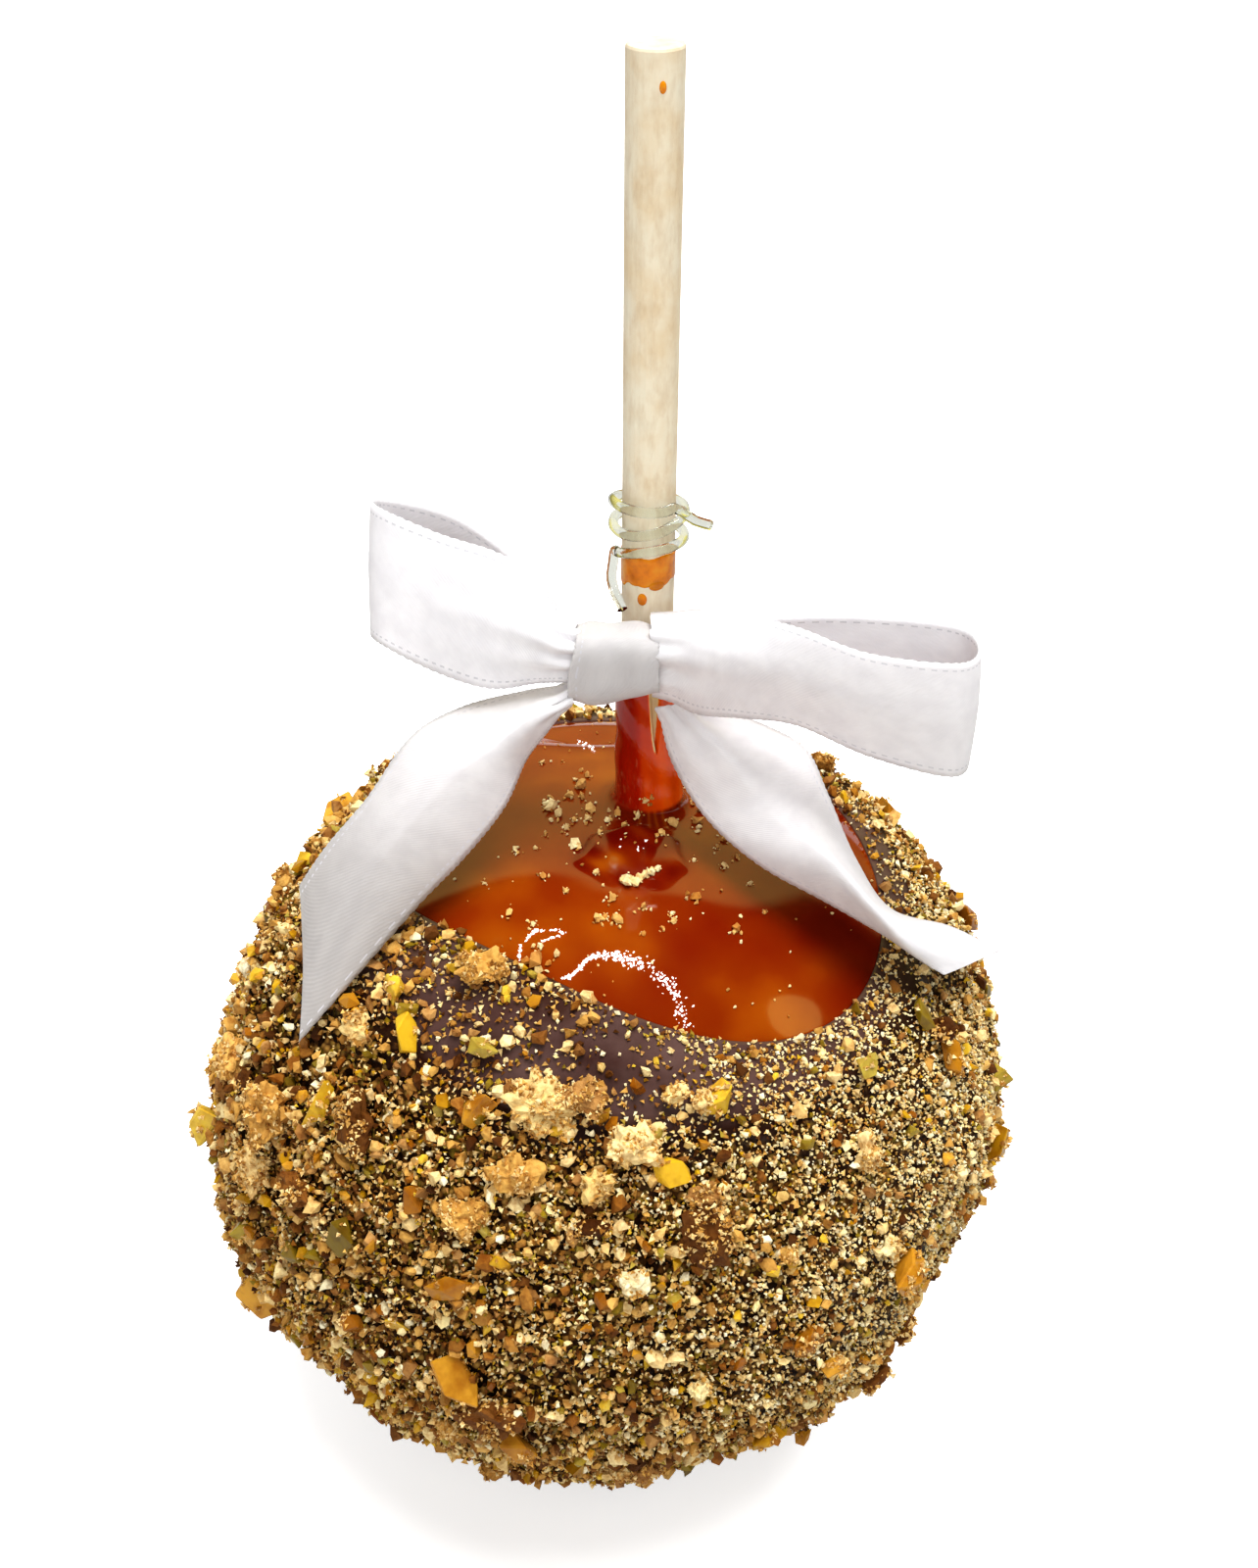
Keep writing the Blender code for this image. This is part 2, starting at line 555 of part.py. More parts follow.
def main():
    clear_scene()
    parts = new_collection("caramel_apple_on_stick")
    caramel = finish("caramel", (0.42, 0.10, 0.012), 0.12)
    chocolate = finish("chocolate_crumbs", (0.36, 0.21, 0.075), 0.75)
    paper = finish("rolled_paper", (0.83, 0.72, 0.52), 0.7)
    satin = finish("white_satin", (0.86, 0.84, 0.86), 0.38)
    elastic = finish("clear_elastic", (0.80, 0.82, 0.78), 0.08)
    build_apple(caramel, parts)
    build_coat(chocolate, parts)
    build_stick(paper, parts)
    build_tie(elastic, parts)
    build_knot(satin, parts)
    build_ribbon("bow_loop_left", LOOP_LEFT, satin, parts)
    build_ribbon("bow_loop_right", LOOP_RIGHT, satin, parts)
    build_ribbon("bow_tail_left", TAIL_LEFT, satin, parts)
    build_ribbon("bow_tail_right", TAIL_RIGHT, satin, parts)


main()
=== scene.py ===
# Caramel apple on a paper stick: the view, the light and the finish of every piece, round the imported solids.
# Lengths are in metres, +Z is up and the viewer stands at -Y.

import math
import random
from collections import namedtuple

import bmesh
import bpy
import numpy as np
from mathutils import Matrix, Vector, noise
from mathutils.bvhtree import BVHTree


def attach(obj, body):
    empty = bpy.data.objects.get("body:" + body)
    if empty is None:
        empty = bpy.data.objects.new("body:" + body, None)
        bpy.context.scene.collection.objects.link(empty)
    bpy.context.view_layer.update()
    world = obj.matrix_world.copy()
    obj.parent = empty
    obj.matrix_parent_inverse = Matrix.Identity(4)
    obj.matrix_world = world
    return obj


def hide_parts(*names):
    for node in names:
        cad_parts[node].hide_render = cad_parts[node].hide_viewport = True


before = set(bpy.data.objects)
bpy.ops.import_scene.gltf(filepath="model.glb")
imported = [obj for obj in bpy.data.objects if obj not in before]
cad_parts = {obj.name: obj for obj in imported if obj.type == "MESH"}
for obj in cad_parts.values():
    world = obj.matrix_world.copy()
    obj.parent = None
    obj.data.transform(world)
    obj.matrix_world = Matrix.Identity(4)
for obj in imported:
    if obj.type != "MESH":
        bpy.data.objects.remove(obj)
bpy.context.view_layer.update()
mm = 0.001


# small helpers for curves, meshes and materials

def smooth(value):
    value = np.clip(value, 0.0, 1.0)
    return value * value * (3.0 - 2.0 * value)


def bell(distance, width):
    return np.exp(-(distance / width) ** 2)


def angleGap(a, b):
    return (a - b + math.pi) % (2 * math.pi) - math.pi


def swell(spots, size, seed, waves=14):
    # uneven waves through space, mostly from -1 to 1, with bumps of about this many millimetres
    rng = np.random.default_rng(seed)
    total = np.zeros(len(spots))
    for _ in range(waves):
        way = rng.normal(size=3)
        way *= 2 * math.pi / (size * mm) * rng.uniform(0.7, 1.4) / np.linalg.norm(way)
        total += np.sin(spots @ way + rng.uniform(0, 2 * math.pi))
    return total / math.sqrt(waves / 2)


def mappedGrid(bm, columns, rows, place, uv=None):
    # a grid primitive laid on a surface: place(u, v) gives the points, uv the real size of the flat cloth
    layer = bm.loops.layers.uv.new("weave") if uv else None
    made = bmesh.ops.create_grid(bm, x_segments=columns, y_segments=rows, size=0.5)["verts"]
    flat = np.array([vert.co[:2] for vert in made]) + 0.5
    if uv:
        for loop in (loop for face in bm.faces for loop in face.loops):
            loop[layer].uv = ((loop.vert.co.x + 0.5) * uv[0], (loop.vert.co.y + 0.5) * uv[1])
    for vert, spot in zip(made, place(flat[:, 0], flat[:, 1])):
        vert.co = spot
    return flat


def weld(bm, gap=0.004 * mm):
    bmesh.ops.remove_doubles(bm, verts=bm.verts, dist=gap)
    bmesh.ops.recalc_face_normals(bm, faces=bm.faces)


def bakeMesh(name, bm):
    mesh = bpy.data.meshes.new(name)
    bm.to_mesh(mesh)
    bm.free()
    return mesh


def addObject(name, data):
    thing = bpy.data.objects.new(name, data)
    bpy.context.scene.collection.objects.link(thing)
    return thing


def placeMesh(name, mesh, material, replaced=(), flat=False):
    thing = addObject(name, mesh)
    mesh.materials.append(material)
    if not flat:
        mesh.shade_smooth()
    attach(thing, "root")
    if replaced:
        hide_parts(*replaced)
    return thing


def meshObject(name, bm, material, replaced=(), flat=False):
    return placeMesh(name, bakeMesh(name, bm), material, replaced, flat)


def addNode(owner, kind, inputs=None, **settings):
    # a node of a material or of the world
    tree = owner.node_tree
    made = tree.nodes.new(kind)
    for key, value in settings.items():
        setattr(made, key, value)
    for key, value in (inputs or {}).items():
        if isinstance(value, bpy.types.NodeSocket):
            tree.links.new(value, made.inputs[key])
        else:
            made.inputs[key].default_value = value
    return made


def connect(owner, socket, node, entry):
    # into a node that a material or the world has from the start
    owner.node_tree.links.new(socket, owner.node_tree.nodes[node].inputs[entry])


def calc(owner, operation, *values, clamp=False):
    made = addNode(owner, "ShaderNodeMath", dict(enumerate(values)), operation=operation, use_clamp=clamp)
    return made.outputs[0]


def colourRamp(material, factor, stops):
    made = addNode(material, "ShaderNodeValToRGB", {"Fac": factor})
    ramp = made.color_ramp
    while len(ramp.elements) < len(stops):
        ramp.elements.new(1.0)
    for element, (place, colour) in zip(ramp.elements, stops):
        element.position = place
        element.color = (*colour, 1.0)
    return made.outputs["Color"]


def mixColour(owner, factor, first, second, blend="MIX"):
    first, second = ((*colour, 1.0) if isinstance(colour, tuple) else colour for colour in (first, second))
    inputs = {0: factor, 6: first, 7: second}
    return addNode(owner, "ShaderNodeMix", inputs, data_type="RGBA", blend_type=blend).outputs[2]


def newMaterial(name, **shader):
    material = bpy.data.materials.new(name)
    material.use_nodes = True
    sockets = material.node_tree.nodes["Principled BSDF"].inputs
    for key, value in shader.items():
        socket = sockets[key.replace("_", " ")]
        socket.default_value = (*value, 1.0) if socket.type == "RGBA" else value
    return material


def dress(material, colour, height=None, strength=0.0, distance=0.0):
    # the colour of a material, and its relief where it has one
    connect(material, colour, "Principled BSDF", "Base Color")
    if strength:
        relief = {"Height": height, "Strength": strength, "Distance": distance}
        made = addNode(material, "ShaderNodeBump", relief)
        connect(material, made.outputs["Normal"], "Principled BSDF", "Normal")
    return material


def objectCoords(material, scale=(1, 1, 1)):
    coords = addNode(material, "ShaderNodeTexCoord").outputs["Object"]
    return addNode(material, "ShaderNodeMapping", {"Vector": coords, "Scale": scale}).outputs["Vector"]


def noiseValue(material, coords, scale, detail=3.0, roughness=0.5):
    inputs = {"Vector": coords, "Scale": scale, "Detail": detail, "Roughness": roughness}
    return addNode(material, "ShaderNodeTexNoise", inputs).outputs["Fac"]


def setAttribute(mesh, name, values):
    mesh.attributes.new(name, "FLOAT", "POINT").data.foreach_set("value", np.asarray(values, np.float32))


def readAttribute(material, name):
    return addNode(material, "ShaderNodeAttribute", attribute_name=name).outputs["Fac"]


def meshSpots(mesh):
    spots = np.empty(len(mesh.vertices) * 3, np.float32)
    mesh.vertices.foreach_get("co", spots)
    return spots.reshape(-1, 3).astype(float)


# camera and studio

view = {
    "place": (3.35 * mm, -197.0 * mm, 229.7 * mm), "down": 33.7, "lens": 44.595, "sensor": 36.0,
    "picture": (1284, 1600),
}
studio = {
    "floor": (0.93, 0.93, 0.93), "floorGlow": 0.48, "floorSize": 6.0, "floorBounce": (0.45, 0.44, 0.42),
    "lamps": {   # strength, degrees wide, direction
        "softKey": (3.7, 38.0, (0.14, -0.06, 0.98)),
        "frontFill": (1.35, 70.0, (-0.15, -0.80, 0.45)),
    },
    "wallFrom": (-0.08, 1.0, 0.0), "wallEdge": (0.41, 0.46), "wallColour": (1.0, 0.88, 0.30),
    "wallGlow": (0.96, 0.97, 1.0), "wallLow": 0.20, "wallHigh": 1.6, "wallTop": 0.87,
    "windowFrom": (0.80, -0.07, 0.59), "windowWide": 9.0, "windowEdge": (1.06, 0.98), "window": 2.0,
    "dark": 0.025,
}


def setCamera():
    lens = bpy.data.cameras.new("camera")
    lens.lens = view["lens"]
    lens.sensor_width = view["sensor"]
    lens.clip_start = 0.01
    camera = addObject("camera", lens)
    camera.location = view["place"]
    camera.rotation_euler = (math.radians(90 - view["down"]), 0, 0)
    bpy.context.scene.camera = camera


def sightLine(pixel):
    # from the camera through a place in the picture
    wide, tall = view["picture"]
    reach = view["lens"] / view["sensor"] * tall
    across, up = (pixel[0] - wide / 2) / reach, (tall / 2 - pixel[1]) / reach
    down = math.radians(view["down"])
    ahead = Vector((across, math.cos(down) + up * math.sin(down), up * math.cos(down) - math.sin(down)))
    return Vector(view["place"]), ahead.normalized()


def rampTowards(world, direction, towards, start, end):
    # from 0 to 1 as a direction turns towards another
    facing = addNode(world, "ShaderNodeVectorMath", {0: direction, 1: towards}, operation="DOT_PRODUCT")
    inputs = {0: facing.outputs["Value"], 1: start, 2: end}
    return addNode(world, "ShaderNodeMapRange", inputs, interpolation_type="SMOOTHSTEP").outputs[0]


def setWorld():
    # a bright wall behind with a warm mirror image, a small window on the right and a dark room,
    # but white where the camera looks
    world = bpy.data.worlds.new("studio")
    bpy.context.scene.world = world
    world.use_nodes = True
    direction = addNode(world, "ShaderNodeTexCoord").outputs["Generated"]
    wall = rampTowards(world, direction, studio["wallFrom"], *studio["wallEdge"])
    height = addNode(world, "ShaderNodeSeparateXYZ", {0: direction}).outputs["Z"]
    rising = {0: height, 1: 0.0, 2: studio["wallTop"], 3: studio["wallLow"], 4: studio["wallHigh"]}
    brighter = addNode(world, "ShaderNodeMapRange", rising).outputs[0]
    edge = [math.cos(math.radians(studio["windowWide"]) * share) for share in studio["windowEdge"]]
    window = rampTowards(world, direction, studio["windowFrom"], *edge)
    light = calc(world, "MULTIPLY_ADD", wall, brighter, studio["dark"])
    light = calc(world, "MULTIPLY_ADD", window, studio["window"], light)
    connect(world, light, "Background", "Strength")
    paths = addNode(world, "ShaderNodeLightPath").outputs
    tint = mixColour(world, paths["Is Glossy Ray"], studio["wallGlow"], studio["wallColour"])
    connect(world, tint, "Background", "Color")
    room = world.node_tree.nodes["Background"].outputs[0]
    white = addNode(world, "ShaderNodeBackground", {"Color": (1.0, 1.0, 1.0, 1.0)}).outputs[0]
    both = addNode(world, "ShaderNodeMixShader", {0: paths["Is Camera Ray"], 1: room, 2: white}).outputs[0]
    connect(world, both, "World Output", "Surface")


def setFloor():
    # white where the camera sees it, and a darker table for the light that it throws back
    bm = bmesh.new()
    bmesh.ops.create_grid(bm, x_segments=1, y_segments=1, size=studio["floorSize"] / 2)
    floor = addObject("floor", bakeMesh("floor", bm))
    paint = newMaterial("studioFloor", Base_Color=studio["floor"], Roughness=0.9, Specular_IOR_Level=0.0,
                        Emission_Color=(1.0, 1.0, 1.0), Emission_Strength=studio["floorGlow"])
    shader = paint.node_tree.nodes["Principled BSDF"].outputs[0]
    table = addNode(paint, "ShaderNodeBsdfDiffuse", {"Color": (*studio["floorBounce"], 1.0)}).outputs[0]
    seen = addNode(paint, "ShaderNodeLightPath").outputs["Is Camera Ray"]
    both = addNode(paint, "ShaderNodeMixShader", {0: seen, 1: table, 2: shader}).outputs[0]
    connect(paint, both, "Material Output", "Surface")
    floor.data.materials.append(paint)


def setLamps():
    for name, (strength, wide, towards) in studio["lamps"].items():
        lamp = bpy.data.lights.new(name, "SUN")
        lamp.energy = strength
        lamp.angle = math.radians(wide)
        thing = addObject(name, lamp)
        thing.rotation_euler = Vector(towards).to_track_quat("Z", "Y").to_euler()
        thing.visible_glossy = False


setCamera()
setWorld()
setFloor()
setLamps()
bpy.context.scene.view_settings.view_transform = "Standard"
bpy.context.scene.view_settings.look = "Medium High Contrast"
print("view and studio are set")


# the apple's surface, as in the part's source

apple = {
    "radius": 49.4 * mm, "middle": 46.0 * mm, "upper": 50.2 * mm, "lower": 49.6 * mm,
    "upperPower": 2.35, "lowerPower": 1.82, "lowerShift": 3.4 * mm, "lean": math.radians(5.5),
    "dimpleDepth": 3.0 * mm, "dimpleRadius": 4.6 * mm,
    "lobes": 5, "lobeHeight": 0.3 * mm, "lobeRing": 24.0 * mm, "lobeSpread": 13.0 * mm,
    "lobeTurn": math.radians(20),
    "lumps": (   # degrees round and down, half widths in degrees, millimetres
        (-29, 96, 14, 14, -2.8), (-13, 85, 12, 12, 1.0), (-66, 118, 14, 14, -1.8), (-104, 127, 32, 18, -2.8),
        (-138, 118, 16, 15, -2.7), (160, 54, 14, 14, -2.0), (178, 70, 16, 13, -1.7),
    ),
    "rimAngle": 36.7, "rimWaves": ((2, 2.0, -44), (3, 2.5, -55), (1, 0.5, -79)),
    "columns": 288, "hiddenRows": 12,
}


def bodyLump(azimuth, polar):
    height = 0.0 * azimuth
    for around, down, wide, high, size in apple["lumps"]:
        side = angleGap(azimuth, math.radians(around)) / math.radians(wide)
        rise = (polar - math.radians(down)) / math.radians(high)
        height = height + size * mm * np.exp(-side * side - rise * rise)
    return height


def applePoint(azimuth, polar, lift, floor=-1.0):
    lift = lift + bodyLump(azimuth, polar)
    up = np.cos(polar) > 0
    power = 2.0 / np.where(up, apple["upperPower"], apple["lowerPower"])
    height = np.where(up, apple["upper"], apple["lower"]) + lift
    radius = (apple["radius"] + lift) * np.abs(np.sin(polar)) ** power
    rise = height * np.sign(np.cos(polar)) * np.abs(np.cos(polar)) ** power
    ring = bell(radius - apple["lobeRing"], apple["lobeSpread"])
    crown = apple["lobeHeight"] * ring * np.cos(apple["lobes"] * azimuth + apple["lobeTurn"])
    crown = crown - apple["dimpleDepth"] * bell(radius, apple["dimpleRadius"])
    side = np.where(up, 0.0, apple["lowerShift"] * smooth(-1.6 * rise / height))
    rise = rise + np.where(up, crown, 0.0)
    x = radius * np.cos(azimuth) - side
    lean = apple["lean"]
    z = np.maximum(rise * math.cos(lean) - x * math.sin(lean) + apple["middle"], floor)
    return np.stack([x * math.cos(lean) + rise * math.sin(lean), radius * np.sin(azimuth), z], axis=-1)


def rimPolar(azimuth):
    angle = np.full_like(azimuth, math.radians(apple["rimAngle"]))
    for count, degrees, crest in apple["rimWaves"]:
        angle = angle + math.radians(degrees) * np.cos(count * (azimuth - math.radians(crest)))
    return np.arctan((np.tan(angle) * apple["upper"] / apple["radius"]) ** (apple["upperPower"] / 2))


def surfaceFrame(azimuth, polar, lift):
    step = 0.004
    here = applePoint(azimuth, polar, lift)
    east = applePoint(azimuth + step, polar, lift) - here
    south = applePoint(azimuth, polar + step, lift) - here
    outward = np.cross(south, east)
    return here, outward / np.linalg.norm(outward, axis=-1, keepdims=True)


# the paper stick and its caramel sleeve

stick = {
    "radius": 3.0 * mm, "foot": np.array((4.9, 0.0, 45.0)) * mm, "top": np.array((5.95, 0.0, 185.0)) * mm,
    "clearance": 0.15 * mm,
}
sleeve = {
    "top": 119.0 * mm, "thin": 3.5 * mm, "thick": 4.2 * mm, "shift": 0.5 * mm, "flare": 2.2 * mm,
    "reach": 0.9 * mm, "wave": 0.09 * mm, "skin": 0.06 * mm, "notch": math.radians(-75),
    "notchWidth": math.radians(16), "notchFoot": 105.2 * mm, "rows": 90,
    "lipRows": 4, "lipWide": 0.15 * mm, "lipDeep": 0.05 * mm, "gap": 0.02 * mm,
}


def stickAxis(height):
    share = (height - stick["foot"][2]) / (stick["top"][2] - stick["foot"][2])
    return stick["foot"] + (stick["top"] - stick["foot"]) * np.asarray(share)[..., None]


def roundStick(azimuth, radius, height, shift=0.0):
    spot = stickAxis(height)
    spot[..., 0] += radius * np.cos(azimuth) + shift
    spot[..., 1] += radius * np.sin(azimuth)
    return spot


# caramel over the apple

caramel = {
    "crownStart": math.radians(3.2), "crownPull": math.radians(9), "crownRows": 170, "foot": 2.0 * mm,
    "colours": (
        (0.0, (0.13, 0.004, 0.0003)), (0.25, (0.175, 0.0105, 0.0005)), (0.5, (0.22, 0.026, 0.0008)),
        (0.75, (0.32, 0.066, 0.002)), (1.0, (0.36, 0.200, 0.060)),
    ),
    # brighter than the crown's colours: painted light against the bow's shadow on the sleeve
    "sleeveColours": (
        (0.0, (0.28, 0.006, 0.0006)), (0.30, (0.44, 0.016, 0.0008)), (0.65, (0.82, 0.105, 0.002)),
        (0.85, (0.85, 0.17, 0.008)), (1.0, (0.78, 0.60, 0.30)),
    ),
    "tone": 0.44, "tailShadow": 0.20, "footShade": 0.12, "glintStreak": 0.42, "poolShade": 0.30, "poolRingShade": 0.10,
    "sleeveTone": 0.14, "sleeveLitSide": 0.50, "sleeveTop": 0.10, "sleeveStripes": 0.05, "bareTone": 1.05,
    "sleeveFoot": 96.6, "glintStreaks": (-98, -84, -74, -62),   # millimetres high, degrees round
    "hollow": (-2.0, 19.5, 2.2), "hollowSize": (6.5, 3.4),   # millimetres: place, depth, half sizes
    "pool": (3.9, -11.0), "poolSize": (6.8, 5.4), "poolRise": 0.12, "poolSlope": 0.10,
    "poolSwell": (3.0, 8),   # millimetres, seed
    "swells": ((24, 0.10, 5), (7, 0.04, 6)),   # millimetres, strength, seed
    "tones": (   # place and half width in millimetres, and how much paler; the last, in the puddle, is a painted sheen
        (3.7, -23.8, 3.5, 0.22), (20.0, -25.0, 8.0, 0.10), (-16.0, -17.0, 12.0, 0.08),
        (3.0, -19.0, 5.0, 0.10), (1.6, -11.6, 2.0, 0.50),
    ),
}


def poolReach(spot):
    # 1 on the edge of the puddle in front of the sleeve
    wide, long = caramel["poolSize"]
    x, y = (spot[..., 0] / mm - caramel["pool"][0]) / wide, (spot[..., 1] / mm - caramel["pool"][1]) / long
    turn = np.arctan2(y, x)
    return np.hypot(x, y) * (1 + 0.05 * np.sin(3 * turn + 1.0) + 0.04 * np.sin(7 * turn))


def crownPoint(azimuth, polar):
    spot = applePoint(azimuth, polar, 0.0)
    centre = stickAxis(spot[..., 2])[..., 0] + sleeve["shift"]
    pull = bell(polar - caramel["crownStart"], caramel["crownPull"])
    spot[..., 0] += (centre - (spot[..., 2] - apple["middle"]) * math.tan(apple["lean"])) * pull
    away = np.hypot(spot[..., 0] - centre, spot[..., 1]) - sleeve["thick"]
    spot[..., 2] += sleeve["flare"] * np.exp(-np.maximum(away, 0.0) / sleeve["reach"])
    x, y, depth = caramel["hollow"]
    wide, long = caramel["hollowSize"]
    sunk = bell(np.hypot((spot[..., 0] / mm - x) / wide, (spot[..., 1] / mm - y) / long), 1.0)
    spot[..., 2] -= depth * mm * sunk
    front = caramel["pool"][1] - caramel["poolSize"][1]
    puddle = caramel["poolRise"] + caramel["poolSlope"] * (spot[..., 1] / mm - front)
    spot[..., 2] += puddle * mm * smooth((1.0 - poolReach(spot)) / 0.25)
    return spot


def caramelMaterial():
    material = newMaterial("caramelGloss", Roughness=0.07, IOR=1.5, Subsurface_Weight=0.12,
                           Subsurface_Scale=0.002, Subsurface_Radius=(1.0, 0.25, 0.05))
    coords = objectCoords(material)
    flow = calc(material, "MULTIPLY_ADD", noiseValue(material, coords, 60.0, 4.0, 0.6), 0.30, -0.15)
    grain = calc(material, "MULTIPLY_ADD", noiseValue(material, coords, 260.0, 2.0), 0.10, -0.05)
    tone = calc(material, "ADD", calc(material, "ADD", readAttribute(material, "tone"), flow), grain)
    crown, climb = (colourRamp(material, tone, caramel[key]) for key in ("colours", "sleeveColours"))
    colour = mixColour(material, readAttribute(material, "sleeve"), crown, climb)
    return dress(material, colour, noiseValue(material, coords, 90.0, 2.0), 0.06, 0.001)


def notchShare(azimuth, height):
    # 1 where the bare stick shows through the caramel, and its soft edge
    reach = np.clip((height - sleeve["notchFoot"]) / (sleeve["top"] - sleeve["notchFoot"]), 0, 1) ** 0.6
    gap = np.abs(angleGap(azimuth, sleeve["notch"])) / (sleeve["notchWidth"] * np.maximum(reach, 1e-3))
    return (1 - smooth((gap - 0.55) / 0.75)) * (height > sleeve["notchFoot"])


def crownTone(spots):
    # clouds, a painted shadow of the right tail on the right side, and the puddle with painted shade for its
    # dark mirror image and a pale spot of painted sheen
    x, y, _ = (spots / mm).T
    # painted shadow: darker at the front right, as under the right tail
    tone = caramel["tone"] - caramel["tailShadow"] * smooth((x - 8) / 22) * smooth(-y / 10)
    for size, strength, seed in caramel["swells"]:
        tone += strength * swell(spots, size, seed)
    for placeX, placeY, size, paler in caramel["tones"]:
        tone += paler * bell(np.hypot(x - placeX, y - placeY), size)
    # painted shade: the puddle is darker, as its mirror image is dark, and darker still in a ring at its edge
    ring = poolReach(spots)
    inside = 1 - smooth((ring - 0.75) / 0.35)
    tone -= caramel["poolShade"] * inside * (0.85 + 0.5 * swell(spots, *caramel["poolSwell"]))
    return tone - caramel["poolRingShade"] * bell(ring - 0.9, 0.16)


def caramelTone(spots):
    # painted light: the sleeve is dark red on its left and orange on its right, as if lit from the right, and
    # paler towards its top; round its foot the crown has painted shade and painted glint streaks
    x, y, z = (spots / mm).T
    axis = stickAxis(spots[:, 2]) / mm
    azimuth = np.arctan2(y - axis[:, 1], x - axis[:, 0])
    around = np.hypot(x - axis[:, 0], y)
    foot = smooth((6.4 - around) / 1.2) * (z > 88)
    glintStreaks = (bell(angleGap(azimuth, math.radians(turn)), math.radians(3.0)) for turn in caramel["glintStreaks"])
    # painted shade round the sleeve's foot, with painted glint streaks there
    tone = crownTone(spots) + foot * (caramel["glintStreak"] * sum(glintStreaks) - caramel["footShade"])
    # painted light: orange on the lit right side, dark red on the left
    climb = caramel["sleeveTone"] + caramel["sleeveLitSide"] * smooth((np.cos(azimuth) + 0.75) / 1.3)
    climb += caramel["sleeveTop"] * smooth((z - 110) / 8)
    climb += caramel["sleeveStripes"] * np.sin(11 * azimuth + 0.25 * z)
    climb += (caramel["bareTone"] - climb) * smooth(2.2 * notchShare(azimuth, spots[:, 2]))
    onSleeve = smooth((z - caramel["sleeveFoot"]) / 0.8) * (around < 6)
    return tone + (climb - tone) * onSleeve, onSleeve


def buildCaramelApple(material):
    start, lipRows, lastSleeve = caramel["crownStart"], sleeve["lipRows"], sleeve["rows"]
    lastCrown = lastSleeve + caramel["crownRows"]
    rows = lastCrown + apple["hiddenRows"]
    hole = stick["radius"] + sleeve["gap"]

    def lipPoint(azimuth, row):
        # the bottom of the stick's hole, and its edge at the top of the sleeve
        bottom = roundStick(azimuth, np.where(row == 0, 0.0, hole), np.full_like(azimuth, stick["foot"][2]))
        wide = np.where(row == 2, hole, hole + sleeve["lipWide"])
        lip = roundStick(azimuth, wide, sleeve["top"] - sleeve["lipDeep"] * (row == 2))
        return np.where((row < 2)[:, None], bottom, lip)

    def sleevePoint(azimuth, row):
        foot = crownPoint(azimuth, np.full_like(azimuth, start))[:, 2]
        share = np.clip((row - lipRows) / (lastSleeve - lipRows), 0, 1)
        height = sleeve["top"] + (foot - sleeve["top"]) * share
        radius = sleeve["thin"] + (sleeve["thick"] - sleeve["thin"]) * share
        wave = np.sin(3 * azimuth + 900 * height) * smooth(share * 6) * smooth((1 - share) * 4)
        radius += sleeve["wave"] * wave
        radius -= (radius - stick["radius"] - sleeve["skin"]) * notchShare(azimuth, height)
        return roundStick(azimuth, radius, height, sleeve["shift"] * share)

    def place(u, v):
        azimuth, row = 2 * math.pi * u, np.rint(v * rows)
        rim = rimPolar(azimuth)
        crownShare = np.clip((row - lastSleeve) / caramel["crownRows"], 0, 1)
        crown = crownPoint(azimuth, start + (rim - start) * crownShare)
        hiddenShare = np.clip((row - lastCrown) / apple["hiddenRows"], 0, 1)
        hidden = applePoint(azimuth, rim + (math.pi - rim) * hiddenShare, 0.0, caramel["foot"])
        spot = np.where((row > lastCrown)[:, None], hidden, crown)
        spot = np.where((row <= lastSleeve)[:, None], sleevePoint(azimuth, row), spot)
        return np.where((row < lipRows)[:, None], lipPoint(azimuth, row), spot)

    bm = bmesh.new()
    mappedGrid(bm, apple["columns"], rows, place)
    weld(bm)
    tree = BVHTree.FromBMesh(bm)
    mesh = meshObject("caramelApple", bm, material, ("caramel_apple",)).data
    for name, values in zip(("tone", "sleeve"), caramelTone(meshSpots(mesh))):
        setAttribute(mesh, name, values)
    return tree


caramelTree = buildCaramelApple(caramelMaterial())
print("caramel apple is made")


# the coat: dark chocolate near the rim, and below it a crust of crumbs

coat = {
    "lip": 0.5 * mm, "roundLip": math.radians(1.4), "lift": 1.7 * mm, "taper": math.radians(9),
    "columns": 360, "rows": 230, "hiddenRows": 12, "floor": 0.0, "spread": 1.25,
    "sunk": 0.05 * mm, "hiddenSunk": 0.1 * mm, "hiddenFloor": 1.5 * mm,
    "swells": ((7.5, 0.40, 61), (3.2, 0.26, 62), (1.6, 0.12, 63)),   # millimetres across and high, seed
    "fine": math.radians(-36), "fineWide": math.radians(46),   # the side where the crumbs are finer and paler
    "bareSide": math.radians(-112), "bareWide": math.radians(42),
    # painted light: paintedSheen is a pale sheen painted on the chocolate, and shade is painted shade under the
    # crumbs
    "dark": (0.045, 0.016, 0.012), "paintedSheen": (0.135, 0.078, 0.068), "shade": (0.022, 0.007, 0.004),
    "mass": (
        (0.0, (0.008, 0.002, 0.0004)), (0.34, (0.035, 0.011, 0.001)), (0.55, (0.19, 0.08, 0.012)),
        (0.80, (0.46, 0.27, 0.07)), (1.0, (0.20, 0.14, 0.012)),
    ),
}


def fineShare(azimuth, polar):
    side = bell(angleGap(azimuth, coat["fine"]), coat["fineWide"])
    return side * smooth((math.radians(112) - polar) / math.radians(22))


def crustShare(azimuth, polar):
    # how closed the crumb mass is: bare chocolate under the rim on the left, open grains on the right
    past = np.degrees(polar - rimPolar(azimuth))
    start = 2 + 14 * bell(angleGap(azimuth, coat["bareSide"]), coat["bareWide"])
    return smooth((past - start) / 14) * (1 - 0.5 * fineShare(azimuth, polar))


